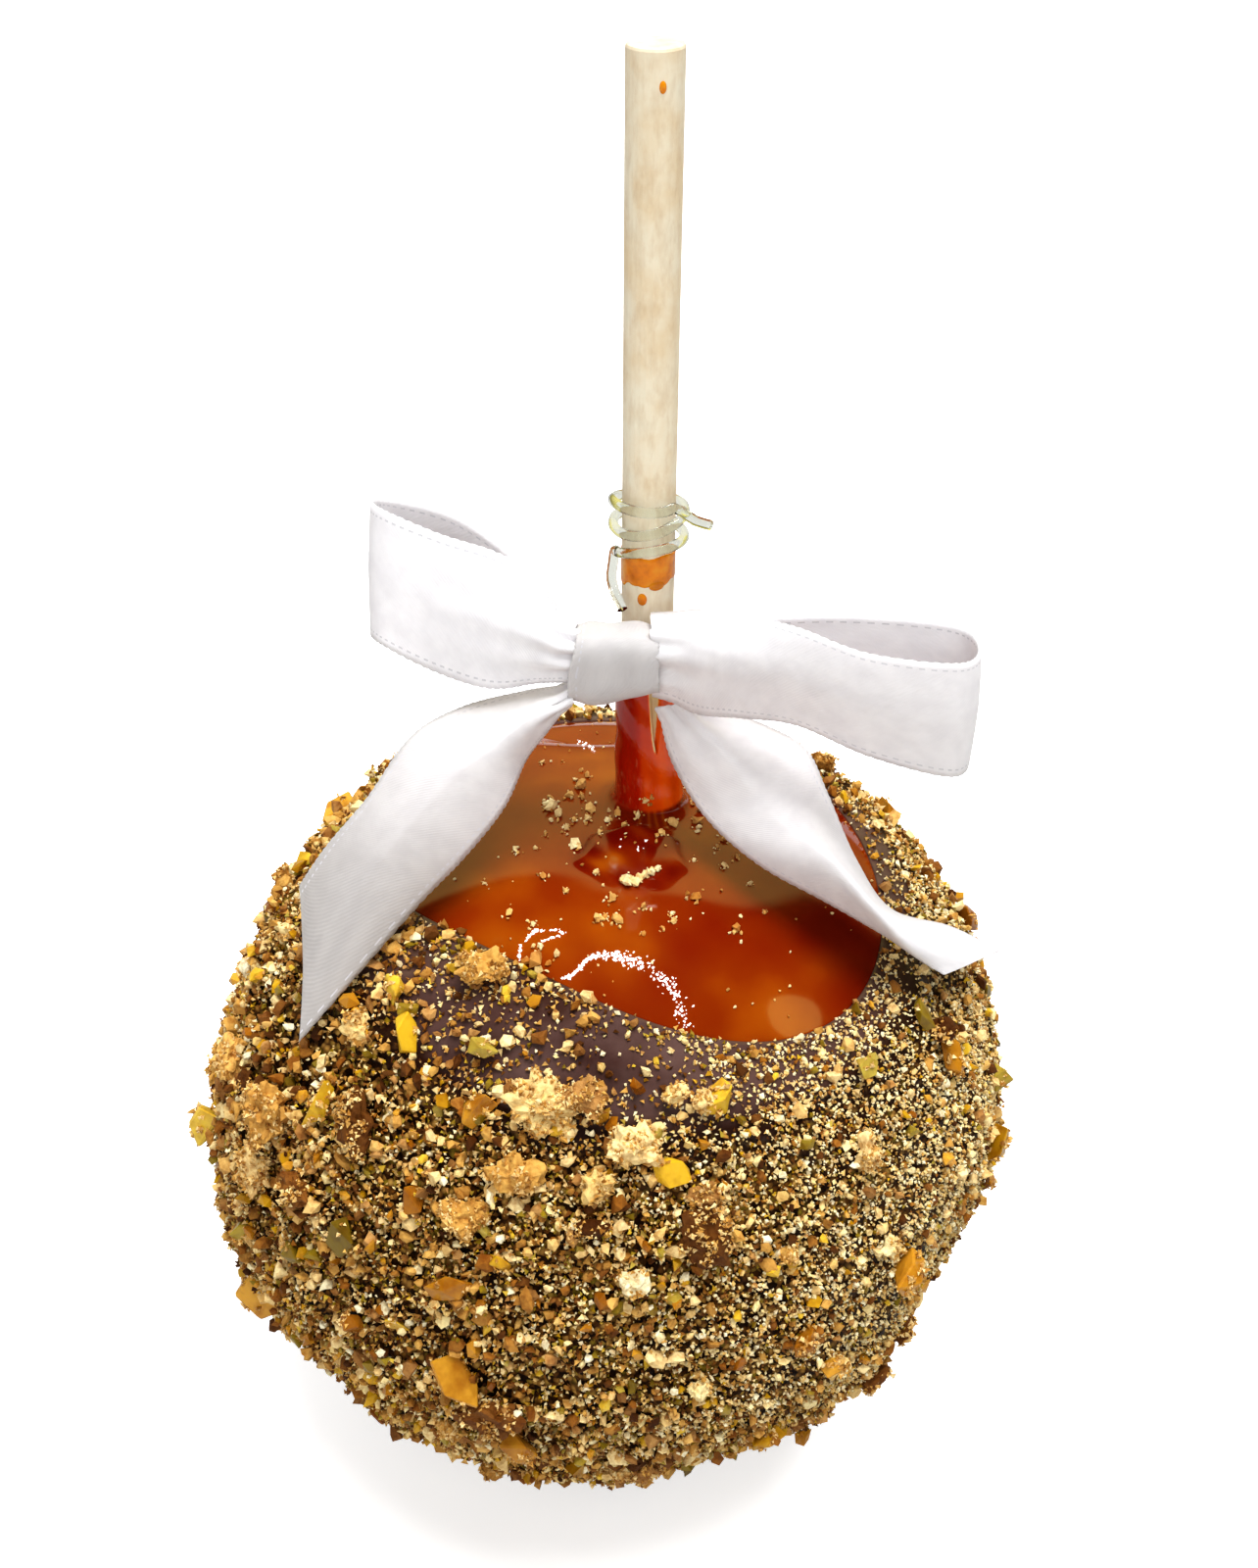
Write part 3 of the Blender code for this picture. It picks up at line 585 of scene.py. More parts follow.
def coatLift(azimuth, polar):
    past = polar - rimPolar(azimuth)
    turned = np.clip(past / coat["roundLip"], 0, 1)
    lip = coat["lip"] * np.sqrt(turned * (2 - turned))
    spots = applePoint(azimuth, polar, 0.0)
    rough = sum(high * swell(spots, size, seed) for size, high, seed in coat["swells"])
    rough = rough * mm * (0.25 + 0.75 * crustShare(azimuth, polar))
    rough = rough * smooth((math.radians(160) - polar) / 0.2)
    return lip + (coat["lift"] - coat["lip"] + rough) * smooth(past / coat["taper"])


def coatMaterial():
    material = newMaterial("crumbedChocolate", IOR=1.46)
    coords = objectCoords(material)
    crust = readAttribute(material, "crust")
    cloud = noiseValue(material, coords, 75.0, 4.0, 0.6)
    # painted sheen: pale purple-grey patches stand in for the chocolate's gloss
    chocolate = colourRamp(material, cloud, ((0.35, coat["dark"]), (0.70, coat["paintedSheen"])))
    covered = calc(material, "MULTIPLY", crust, 6.0, clamp=True)
    # painted shade: the chocolate turns near black under the crumbs, as in the gaps between them
    chocolate = mixColour(material, covered, chocolate, coat["shade"])
    cells = addNode(material, "ShaderNodeTexVoronoi", {"Vector": coords, "Scale": 1500.0}).outputs
    chance = addNode(material, "ShaderNodeSeparateXYZ", {0: cells["Color"]}).outputs["X"]
    patch = calc(material, "MULTIPLY_ADD", noiseValue(material, coords, 240.0, 3.0, 0.6), 0.9, -0.45)
    crumbs = colourRamp(material, calc(material, "ADD", patch, chance), coat["mass"])
    # painted shade: darker towards the cell edges, as in the gaps between crumbs
    gapShadow = colourRamp(material, cells["Distance"], ((0.25, (1.0, 1.0, 1.0)), (0.75, (0.30, 0.25, 0.22))))
    crumbs = mixColour(material, 1.0, crumbs, gapShadow, "MULTIPLY")
    edge = calc(material, "MULTIPLY_ADD", noiseValue(material, coords, 420.0, 3.0, 0.6), 2.4, -1.7)
    mask = calc(material, "MULTIPLY_ADD", crust, 2.0, edge, clamp=True)
    gloss = addNode(material, "ShaderNodeMapRange", {0: mask, 3: 0.42, 4: 0.9}).outputs[0]
    connect(material, gloss, "Principled BSDF", "Roughness")
    height = calc(material, "MULTIPLY", cells["Distance"], mask)
    grain = calc(material, "MULTIPLY_ADD", noiseValue(material, coords, 700.0, 3.0), 0.3, height)
    return dress(material, mixColour(material, mask, chocolate, crumbs), grain, 0.5, -0.0005)


def buildCoat(material):
    hiddenRows = coat["hiddenRows"]
    rows = coat["rows"] + hiddenRows
    crust = np.zeros((coat["columns"] + 1) * (rows + 1))

    def place(u, v):
        azimuth = 2 * math.pi * u
        rim = rimPolar(azimuth)
        row = np.rint(v * rows) - hiddenRows
        inside = rim + (math.pi - rim) * np.clip(-row / hiddenRows, 0, 1)
        outside = rim + (math.pi - rim) * np.clip(row / coat["rows"], 0, 1) ** coat["spread"]
        inner = applePoint(azimuth, inside, -coat["hiddenSunk"], coat["hiddenFloor"])
        outer = applePoint(azimuth, outside, coatLift(azimuth, outside) - coat["sunk"], coat["floor"])
        crust[:] = np.where(row < 0, 0, crustShare(azimuth, outside))
        return np.where((row < 0)[:, None], inner, outer)

    bm = bmesh.new()
    layer = bm.verts.layers.float.new("crust")
    mappedGrid(bm, coat["columns"], rows, place)
    for vert, share in zip(bm.verts, crust):
        vert[layer] = share
    weld(bm)
    return meshObject("chocolateCoat", bm, material, ("nut_chocolate_coat",))


buildCoat(coatMaterial())
print("coat is made")


# chopped pieces on the coat: sugar chips, biscuit and wafer

largePieces = (   # degrees round, degrees down, millimetres long, wide and high, degrees turned, kind
    (-146, 70.5, 9.0, 8.0, 4.8, 90, "biscuit"), (-168, 89, 8.0, 6.0, 5.0, 80, "gold"),
    (-137, 64, 6.5, 2.2, 2.6, 85, "gold"), (-130, 62, 8.5, 6.0, 3.6, -60, "wafer"),
    (-146, 80, 7.5, 5.5, 3.6, 20, "biscuit"), (-136, 75.5, 5.5, 4.5, 3.6, 0, "wafer"),
    (-127, 77, 6.0, 4.5, 3.0, 70, "olive"), (-149, 91, 4.0, 3.6, 2.8, 0, "olive"),
    (-136, 85, 4.5, 3.6, 2.6, 0, "olive"), (-151, 107, 10.0, 5.5, 4.8, -50, "toffee"),
    (-111, 76.5, 5.5, 3.4, 3.0, 35, "toffee"), (-124, 88, 3.8, 3.0, 2.6, -50, "toffee"),
    (-109, 89, 8.5, 6.5, 4.2, -30, "toffee"), (-104, 94, 9.5, 6.5, 4.2, 10, "wafer"),
    (-122, 112, 4.2, 3.8, 3.4, 0, "toffee"), (-99, 101, 5.5, 4.5, 3.2, 0, "toffee"),
    (-104, 50, 7.5, 6.5, 4.4, 0, "cream"), (-97, 47.5, 6.0, 5.2, 3.6, 0, "wafer"),
    (-105, 59.5, 6.8, 5.0, 2.6, 20, "biscuit"), (-94, 58.5, 4.2, 3.4, 2.8, -60, "cream"),
    (-76, 47.5, 4.8, 3.6, 2.8, 40, "gold"), (-83, 46.5, 3.6, 2.4, 2.2, 0, "cream"),
    (-88.5, 53.5, 7.5, 5.0, 4.0, -20, "biscuit"), (-84, 56.5, 5.0, 3.8, 2.8, -30, "gold"),
    (-79, 65, 8.5, 8.0, 3.6, 90, "wafer"), (-79, 60, 4.5, 3.2, 3.0, 0, "wafer"),
    (-29, 56.5, 6.0, 2.8, 2.8, 80, "toffee"), (-18, 80, 6.0, 4.5, 3.4, 90, "gold"),
    (-47, 80.5, 6.0, 4.5, 3.4, 20, "toffee"), (-64, 83, 4.5, 3.2, 2.8, 10, "toffee"),
    (-58, 88.5, 3.6, 3.0, 2.4, 0, "toffee"), (-78, 87, 3.0, 2.6, 2.0, 0, "cream"),
    (-64, 103, 4.8, 3.4, 3.0, 10, "gold"), (-80, 109, 6.0, 4.5, 3.4, 60, "wafer"),
    (-44, 104, 4.5, 4.0, 3.4, 0, "wafer"), (-136, 44.5, 4.6, 3.6, 2.8, 60, "gold"),
    (-129, 48, 5.0, 3.4, 2.6, -60, "gold"), (-137, 51.5, 4.4, 3.6, 2.8, 0, "cream"),
    (-115, 45, 3.8, 3.0, 2.4, 0, "olive"), (-122, 35, 7.5, 4.4, 3.4, 10, "biscuit"),
    (7, 57, 6.5, 4.2, 3.2, -50, "toffee"), (28, 45, 4.5, 3.0, 2.8, -30, "toffee"),
    (-32, 48.5, 4.2, 1.8, 2.2, 80, "olive"), (-49, 49, 3.2, 2.8, 2.0, 0, "olive"),
    (-161, 73, 7.0, 5.0, 4.0, 0, "biscuit"), (168, 62, 6.5, 5.0, 3.2, 0, "biscuit"),
    (-88, 71, 4.0, 3.2, 2.6, 0, "cream"), (-111, 67, 6.0, 5.0, 2.6, 0, "biscuit"),
    (-94, 64.5, 5.0, 3.4, 2.6, 0, "wafer"), (70, 62, 9.0, 7.0, 4.0, 30, "biscuit"),
    (118, 84, 8.0, 7.0, 4.0, 0, "wafer"), (150, 60, 7.0, 6.0, 3.6, 0, "toffee"),
    (178, 92, 8.5, 6.0, 4.0, 60, "biscuit"), (38, 88, 8.5, 6.5, 3.8, -30, "cream"),
    (95, 105, 7.0, 6.0, 3.6, 0, "toffee"),
)
chunks = {
    "small": 68, "smallSize": (2.6, 5.2), "smallWide": (0.6, 0.95), "smallTall": (0.45, 0.7), "seed": 7,
    "rimMargin": math.radians(5), "foot": math.radians(126), "tintStart": 0.35, "tintStep": 0.618,
    "outer": 2.4 * mm, "bigger": 5.2 * mm, "cuts": (4, 6), "shallow": 0.22, "deepest": 1.1 * mm,
    "stuck": 10500, "stuckSize": (0.35, 0.95), "stuckSeed": 31, "crusted": 79,   # degrees down
    "smallKinds": ("biscuit", "wafer", "olive", "gold", "biscuit", "cream", "wafer", "toffee", "biscuit"),
    "craggy": {"biscuit": 0.36, "wafer": 0.30, "cream": 0.38},
    "names": {"biscuit": "biscuitChunks", "wafer": "waferChunks", "cream": "creamChunks", "gold": "goldChips",
              "toffee": "toffeeChips", "olive": "oliveChips"},
}
chips = {"cut": 4, "push": (1.0, 1.22), "bevel": 0.04, "sharp": 0.45}
goldenAngle = math.pi * (3 - math.sqrt(5))
Piece = namedtuple("Piece", "around down longSide wide tall spin kind")


def smallPieces(rng):
    pieces = []
    total = chunks["small"] * 2
    for index in range(total):
        polar = math.acos(1 - 2 * (index + 0.5) / total) + rng.uniform(-0.05, 0.05)
        azimuth = index * goldenAngle + rng.uniform(-0.08, 0.08)
        longSide = rng.uniform(*chunks["smallSize"])
        wide = longSide * rng.uniform(*chunks["smallWide"])
        tall = longSide * rng.uniform(*chunks["smallTall"])
        spin = rng.uniform(0, 360)
        if float(rimPolar(np.array(azimuth))) + chunks["rimMargin"] < polar < chunks["foot"] and index % 3:
            kind = chunks["smallKinds"][len(pieces) % len(chunks["smallKinds"])]
            pieces.append(Piece(math.degrees(azimuth), math.degrees(polar), longSide, wide, tall, spin, kind))
    return pieces


def roughen(bm, piece):
    # cut finer and pitted, as broken biscuit is
    cuts = chunks["cuts"][piece.longSide * mm > chunks["bigger"]]
    bmesh.ops.subdivide_edges(bm, edges=bm.edges, cuts=cuts, use_grid_fill=True)
    shift = Vector((piece.around, piece.down, piece.longSide * 10))
    for vert in bm.verts:
        large, middle, small = (noise.noise(vert.co / (size * mm) + shift) for size in (2.2, 0.9, 0.45))
        push = large + 0.7 * middle - 0.5 * abs(small)
        vert.co += vert.co.normalized() * push * chunks["craggy"][piece.kind] * piece.tall * mm


def facet(bm, piece, chip):
    # broken sugar: fewer and larger flat faces between edges that are only just rounded
    bmesh.ops.delete(bm, geom=chip.sample(bm.verts[:], chips["cut"]), context="VERTS")
    for vert in bm.verts:
        vert.co *= chip.uniform(*chips["push"])
    bmesh.ops.delete(bm, geom=bm.edges[:], context="EDGES_FACES")
    bmesh.ops.convex_hull(bm, input=bm.verts)
    bm.normal_update()
    edges = [edge for edge in bm.edges if edge.calc_face_angle() > chips["sharp"]]
    bmesh.ops.bevel(bm, geom=edges, offset=chips["bevel"] * piece.wide * mm, affect="EDGES", segments=1,
                    profile=0.5, material=-1, clamp_overlap=True)


def chunkBody(piece, rng, chip):
    # the same stone as in the solid, with its finer shape
    azimuth, polar = math.radians(piece.around), math.radians(piece.down)
    here, outward = (Vector(value) for value in surfaceFrame(azimuth, polar, chunks["outer"]))
    sides = [side * mm for side in (piece.longSide, piece.wide, piece.tall)]
    bm = bmesh.new()
    for vert in bmesh.ops.create_icosphere(bm, subdivisions=1, radius=0.5)["verts"]:
        vert.co *= rng.uniform(0.80, 1.20)
        for axis, side in enumerate(sides):
            vert.co[axis] *= side
    if piece.kind in chunks["craggy"]:
        roughen(bm, piece)
    else:
        facet(bm, piece, chip)
    turn = outward.to_track_quat("Z", "Y").to_matrix() @ Matrix.Rotation(math.radians(piece.spin), 3, "Z")
    sunk = here + outward * max(sides[2] * chunks["shallow"], sides[2] * 0.5 - chunks["deepest"])
    bmesh.ops.transform(bm, matrix=Matrix.Translation(sunk) @ turn.to_4x4(), verts=bm.verts)
    return bm, outward


crumbColours = {   # dark, middle and pale
    "cream": ((0.76, 0.52, 0.18), (0.93, 0.78, 0.40), (0.98, 0.92, 0.66)),
    "biscuit": ((0.30, 0.115, 0.014), (0.70, 0.41, 0.105), (0.97, 0.78, 0.40)),
    "wafer": ((0.07, 0.022, 0.004), (0.24, 0.095, 0.018), (0.54, 0.30, 0.10)),
    "gold": ((0.48, 0.25, 0.008), (0.66, 0.39, 0.014), (0.82, 0.57, 0.06)),
    "toffee": ((0.28, 0.095, 0.006), (0.46, 0.20, 0.012), (0.70, 0.37, 0.04)),
    "olive": ((0.17, 0.11, 0.007), (0.31, 0.21, 0.013), (0.50, 0.38, 0.07)),
    "sprinkle": ((0.52, 0.22, 0.04), (0.82, 0.54, 0.19), (0.97, 0.88, 0.52)),
}
sugarGloss = {"gold": 0.32, "toffee": 0.25, "olive": 0.32}
sugarDepth = {"Subsurface_Weight": 0.08, "Subsurface_Scale": 0.0005, "Subsurface_Radius": (1.0, 0.55, 0.1)}


def crumbMaterial(kind):
    sugar = kind in sugarGloss
    depth = sugarDepth if sugar else {}
    material = newMaterial(kind + "Crumb", Roughness=sugarGloss.get(kind, 0.85), **depth)
    stops = tuple(zip((0.0, 0.5, 1.0), crumbColours[kind]))
    colour = colourRamp(material, readAttribute(material, "tint"), stops)
    grain = noiseValue(material, objectCoords(material), 330.0 if sugar else 900.0, 3.0, 0.6)
    shade = colourRamp(material, grain, ((0.32, (0.60, 0.46, 0.34)), (0.56, (1.0, 1.0, 1.0))))
    return dress(material, mixColour(material, 0.9, colour, shade, "MULTIPLY"), grain, 0.5, 0.0004)


crumbFinish = {kind: crumbMaterial(kind) for kind in crumbColours}


def buildChunks():
    # returns places on their outer faces, where fine crumbs stick
    rng, chip = random.Random(chunks["seed"]), random.Random(chunks["seed"] + 1)
    heaps = {kind: (bmesh.new(), []) for kind in chunks["names"]}
    dusted = []
    pieces = [Piece(*entry) for entry in largePieces] + smallPieces(rng)
    for index, piece in enumerate(pieces):
        heap, tints = heaps[piece.kind]
        bm, outward = chunkBody(piece, rng, chip)
        tints.extend([(index * chunks["tintStep"] + chunks["tintStart"]) % 1.0] * len(bm.verts))
        bm.normal_update()
        share = 1.0 if piece.kind in chunks["craggy"] or piece.down > chunks["crusted"] else 0.35
        dusted.extend((face.calc_center_median(), face.normal.copy(), face.calc_area() * share)
                      for face in bm.faces if face.normal.dot(outward) > -0.2)
        stone = bakeMesh("stone", bm)
        heap.from_mesh(stone)
        bpy.data.meshes.remove(stone)
    for kind, (bm, tints) in heaps.items():
        thing = meshObject(chunks["names"][kind], bm, crumbFinish[kind], flat=True)
        setAttribute(thing.data, "tint", tints)
    return dusted


chunkFaces = buildChunks()
print("chopped pieces are made")


# crumbs on the coat

crumbKinds = {   # kind, count, millimetres across, form, seed, shares kept on the fine side and on the rest
    "creamDust": ("cream", 24000, (0.32, 1.0), "grain", 11, (1, 0.32)),
    "creamGrains": ("cream", 10000, (0.45, 1.1), "grain", 22, (1, 0.04)),
    "biscuitDust": ("biscuit", 48000, (0.45, 1.3), "shard", 12, (0.5, 1)),
    "waferDust": ("wafer", 23000, (0.45, 1.25), "shard", 13, (0.4, 1)),
    "goldDust": ("gold", 6000, (0.5, 1.2), "shard", 19, (0.5, 1)),
    "oliveDust": ("olive", 8000, (0.5, 1.3), "shard", 20, (0.6, 1)),
    "creamCrumbs": ("cream", 3600, (0.6, 2.0), "lump", 14, (1, 1)),
    "biscuitCrumbs": ("biscuit", 6400, (0.7, 2.8), "lump", 15, (0.5, 1)),
    "waferCrumbs": ("wafer", 2600, (0.7, 2.8), "lump", 16, (0.4, 1)),
    "goldCrumbs": ("gold", 700, (0.8, 2.9), "lump", 17, (0.4, 1)),
    "toffeeCrumbs": ("toffee", 450, (0.9, 3.2), "lump", 18, (0.4, 1)),
    "oliveCrumbs": ("olive", 600, (0.8, 2.8), "lump", 21, (0.5, 1)),
}
crumbForm = {"tall": 0.7, "dent": (0.50, 1.42), "stretch": (0.60, 1.25)}   # a shard's height, and chance shares
cover = {
    "bare": (   # degrees round, degrees past the rim, half widths, and the share of crumbs that is left
        (-92, 7, 16, 8, 0.09), (-108, 12, 12, 6, 0.45), (-128, 14, 16, 12, 0.42), (-146, 24, 8, 8, 0.18),
        (-164, 8, 14, 10, 0.14), (-24, 8, 16, 8, 0.45), (10, 2, 16, 3, 0.15), (110, 5, 40, 5, 0.25),
        (60, 4, 30, 4, 0.2),
    ),
    "edge": math.radians(1.2), "over": math.radians(0.4), "foot": math.radians(154), "lumpsCling": 0.6,
    "piled": 0.8 * mm, "finer": 0.22, "patchy": 0.16, "patches": (5.0, 71),   # millimetres across, seed
}


def coverage(azimuth, polar):
    past = polar - rimPolar(azimuth)
    share = smooth((past + cover["over"]) / cover["edge"])
    for around, down, wide, high, left in cover["bare"]:
        x = angleGap(azimuth, math.radians(around)) / math.radians(wide)
        y = (past - math.radians(down)) / math.radians(high)
        share = share * (1 - (1 - left) * bell(np.hypot(x, y), 1.0))
    return share * (polar < cover["foot"])


def baseShape(kind):
    bm = bmesh.new()
    if kind == "grain":
        bmesh.ops.create_uvsphere(bm, u_segments=4, v_segments=2, radius=0.5)
    elif kind == "shard":
        tall = crumbForm["tall"]
        bmesh.ops.create_cone(bm, cap_ends=True, segments=3, radius1=0.5, radius2=0.0, depth=tall)
    else:
        bmesh.ops.create_icosphere(bm, subdivisions=1, radius=0.5)
    bmesh.ops.remove_doubles(bm, verts=bm.verts, dist=0.01)
    bmesh.ops.triangulate(bm, faces=bm.faces)
    points = np.array([vert.co[:] for vert in bm.verts])
    faces = np.array([[vert.index for vert in face.verts] for face in bm.faces])
    bm.free()
    return points, faces


def layCrumbs(name, finish, shape, spots, normals, sizes, rise, rng):
    # one joined mesh of crumbs: every crumb turned, stretched and dented by chance
    points, faces = baseShape(shape)
    count = len(spots)
    turns = rng.normal(size=(count, 4))
    w, x, y, z = (turns / np.linalg.norm(turns, axis=1, keepdims=True)).T
    rotation = np.stack([
        1 - 2 * (y * y + z * z), 2 * (x * y - z * w), 2 * (x * z + y * w),
        2 * (x * y + z * w), 1 - 2 * (x * x + z * z), 2 * (y * z - x * w),
        2 * (x * z - y * w), 2 * (y * z + x * w), 1 - 2 * (x * x + y * y),
    ], axis=1).reshape(-1, 3, 3)
    dent = rng.uniform(*crumbForm["dent"], (count, len(points), 1))
    stretch = rng.uniform(*crumbForm["stretch"], (count, 1, 3)) * sizes[:, None, None]
    corners = np.einsum("nij,nkj->nki", rotation, points[None] * dent * stretch)
    corners += (spots + normals * (sizes * rise)[:, None])[:, None]
    allFaces = (faces[None] + (np.arange(count) * len(points))[:, None, None]).reshape(-1, 3)
    mesh = bpy.data.meshes.new(name)
    mesh.from_pydata(corners.reshape(-1, 3), [], allFaces)
    placeMesh(name, mesh, finish, flat=True)
    return mesh


def tintCrumbs(mesh, tint):
    setAttribute(mesh, "tint", np.repeat(tint, len(mesh.vertices) // len(tint)))


def chanceSizes(rng, limits, spread, count):
    low, high = limits
    return (low + (high - low) * rng.beta(*spread, count)) * mm


def scatter(name, kind, need, limits, shape, seed, keep):
    rng = np.random.default_rng(seed)
    fineKeep, restKeep = keep
    cling = cover["lumpsCling"] if shape == "lump" else 1.0
    kept = []
    while need > 0:
        azimuth = rng.uniform(-math.pi, math.pi, need * 2)
        polar = np.arccos(rng.uniform(-1, 1, need * 2))
        wanted = restKeep + (fineKeep - restKeep) * fineShare(azimuth, polar)
        fits = rng.uniform(0, 1, need * 2) < coverage(azimuth, polar) ** cling * wanted
        kept.append(np.stack([azimuth[fits], polar[fits]], axis=1)[:need])
        need -= len(kept[-1])
    azimuth, polar = np.concatenate(kept).T
    crust = crustShare(azimuth, polar)
    spots, normals = surfaceFrame(azimuth, polar, coatLift(azimuth, polar))
    sizes = chanceSizes(rng, limits, (1.1, 3.2), len(spots))
    sizes = sizes * (1 - cover["finer"] * fineShare(azimuth, polar))
    spots = spots + normals * (rng.uniform(0, 1, len(spots)) ** 1.6 * cover["piled"] * crust)[:, None]
    above = spots[:, 2] > 0.6 * sizes + 0.2 * mm
    spots = spots[above]
    mesh = layCrumbs(name, crumbFinish[kind], shape, spots, normals[above], sizes[above], 0.27, rng)
    tint = rng.beta(0.9, 0.9, len(spots))
    tint = tint * (0.68 + 0.32 * smooth((spots[:, 2] / mm - 8) / 34))   # painted shade: darker below
    tint = tint + cover["patchy"] * swell(spots, *cover["patches"]) * crust[above]
    tintCrumbs(mesh, np.clip(tint, 0, 1))


def dustChunks():
    rng = np.random.default_rng(chunks["stuckSeed"])
    spots, normals, areas = (np.array(column) for column in zip(*chunkFaces))
    areas = areas * smooth(swell(spots, 3.0, chunks["stuckSeed"] + 1) + 0.6)
    pick = rng.choice(len(spots), chunks["stuck"], p=areas / areas.sum())
    sizes = chanceSizes(rng, chunks["stuckSize"], (1.3, 2.2), len(pick))
    spots = spots[pick] + rng.normal(0, 0.15 * mm, (len(pick), 3))
    mesh = layCrumbs("stuckCrumbs", crumbFinish["biscuit"], "shard", spots, normals[pick], sizes, 0.15, rng)
    tintCrumbs(mesh, rng.beta(1.6, 1.1, len(spots)))


for crumbName, crumbSpec in crumbKinds.items():
    scatter(crumbName, *crumbSpec)
dustChunks()
print("crumbs are scattered")


# loose crumbs on the caramel crown, and glowing white specks there as painted highlights, placed where the
# picture shows them

crownCrumbs = {
    "lumps": (   # across and down the picture, and millimetres across
        (594, 804, 1.5), (582, 813, 1.1), (594, 815, 0.8), (563, 825, 1.7), (571, 832, 1.5), (557, 823, 1.0),
        (603, 827, 1.2), (599, 837, 1.1), (586, 838, 0.9), (620, 838, 0.9), (637, 843, 0.7), (632, 829, 1.0),
        (652, 831, 1.0), (659, 816, 1.1), (578, 846, 0.9), (557, 852, 0.6), (586, 863, 1.1), (591, 865, 1.0),
        (612, 850, 0.7), (526, 868, 0.9), (547, 866, 0.6), (674, 851, 1.2), (685, 840, 1.1), (711, 840, 1.5),
        (715, 827, 1.5), (739, 856, 0.9), (732, 865, 0.7), (739, 884, 0.8), (752, 875, 0.8), (765, 902, 0.6),
        (708, 878, 0.6), (609, 891, 0.8), (555, 895, 0.9), (625, 917, 1.0), (577, 909, 0.7), (657, 926, 1.0),
        (709, 916, 1.3), (610, 938, 1.3), (631, 939, 1.2), (618, 936, 0.7), (685, 933, 0.8), (687, 941, 0.7),
        (657, 952, 0.6), (750, 947, 1.2), (676, 947, 0.5), (547, 980, 2.4), (545, 944, 0.9), (553, 779, 0.7),
        (574, 777, 0.4), (599, 792, 0.8), (552, 967, 0.8), (520, 932, 0.9), (495, 902, 0.6), (780, 932, 0.6),
        (698, 801, 0.8), (705, 818, 0.6),
    ),
    "clump": ((637, 898), (646, 900), (654, 896), (662, 890), (671, 887)), "clumpCount": 16, "clumpWide": 1.6,
    "beside": 8, "besideReach": 3.2, "loose": 170, "looseSize": (0.22, 0.5), "seed": 41,
}
glints = {
    "lines": (   # how many, how wide at the start and at the end, and the line through the picture
        (55, 1.3, 1.6, ((530, 980), (532, 966), (540, 955), (548, 950), (562, 949), (577, 952))),
        (14, 0.8, 0.8, ((551, 962), (560, 958), (572, 955))),
        (330, 1.6, 8.5, ((574, 999), (584, 995), (592, 988), (597, 981), (606, 976), (622, 975), (637, 977),
                         (651, 982), (667, 993), (683, 1007), (696, 1026), (700, 1050))),
        (16, 4.0, 4.0, ((590, 757), (597, 760), (605, 766))),
        (4, 0.6, 0.6, ((652, 850), (651, 872))),
        (3, 0.6, 0.6, ((661, 851), (656, 868))),
        (2, 0.6, 0.6, ((634, 855), (633, 865))),
    ),
    "size": (0.20, 0.46), "seed": 43,
}


def onCaramel(pixels):
    # where lines of sight through the picture meet the caramel
    spots, normals = [], []
    for pixel in pixels:
        spot, normal, _, _ = caramelTree.ray_cast(*sightLine(pixel))
        if spot is not None:
            spots.append(spot)
            normals.append(normal)
    return np.array(spots), np.array(normals)


def alongPixels(line, shares):
    line = np.array(line, float)
    steps = np.linspace(0, 1, len(line))
    return np.stack([np.interp(shares, steps, line[:, 0]), np.interp(shares, steps, line[:, 1])], axis=1)


def buildCrownCrumbs():
    rng = np.random.default_rng(crownCrumbs["seed"])
    lumps = np.array(crownCrumbs["lumps"])
    clump = alongPixels(crownCrumbs["clump"], np.linspace(0, 1, crownCrumbs["clumpCount"]))
    clump += rng.normal(0, crownCrumbs["clumpWide"], clump.shape)
    beside = np.repeat(lumps, crownCrumbs["beside"], axis=0)
    beside[:, :2] += rng.normal(0, 1, (len(beside), 2)) * crownCrumbs["besideReach"] * beside[:, 2:]
    pixels = np.concatenate([lumps[:, :2], clump, beside[:, :2]])
    sizes = np.concatenate([lumps[:, 2], rng.uniform(0.9, 1.3, len(clump)),
                            beside[:, 2] * rng.uniform(0.2, 0.5, len(beside))])
    spots, normals = onCaramel(pixels)
    azimuth = rng.uniform(-math.pi, math.pi, crownCrumbs["loose"])
    polar = rimPolar(azimuth) * np.sqrt(rng.uniform(0.03, 0.97, crownCrumbs["loose"]))
    spots = np.concatenate([spots, crownPoint(azimuth, polar)])
    normals = np.concatenate([normals, surfaceFrame(azimuth, polar, 0.0)[1]])
    sizes = np.concatenate([sizes, rng.uniform(*crownCrumbs["looseSize"], len(azimuth))]) * mm
    mesh = layCrumbs("crownCrumbs", crumbFinish["sprinkle"], "lump", spots, normals, sizes, 0.3, rng)
    tint = rng.beta(0.9, 0.9, len(spots))
    tint[len(lumps):len(lumps) + len(clump)] = rng.uniform(0.6, 0.95, len(clump))   # the clump is paler
    tintCrumbs(mesh, tint)


# painted highlights: glowing white specks strewn along the lines where the highlights fall
def buildGlints():
    rng = np.random.default_rng(glints["seed"])
    pixels = []
    for number, first, last, line in glints["lines"]:
        shares = rng.uniform(0, 1, number) ** 0.8
        wide = first + (last - first) * smooth((shares - 0.30) / 0.35)
        pixels.append(alongPixels(line, shares) + rng.normal(0, 0.5, (number, 2)) * wide[:, None])
    spots, normals = onCaramel(np.concatenate(pixels))
    sizes = rng.uniform(*glints["size"], len(spots)) * mm
    # white that glows by itself: a painted highlight
    material = newMaterial("glowingHighlight", Base_Color=(0.97, 0.93, 0.92), Roughness=0.15,
                           Emission_Color=(1.0, 0.95, 0.93), Emission_Strength=0.7)
    layCrumbs("glowingHighlights", material, "grain", spots, normals, sizes, 0.12, rng)


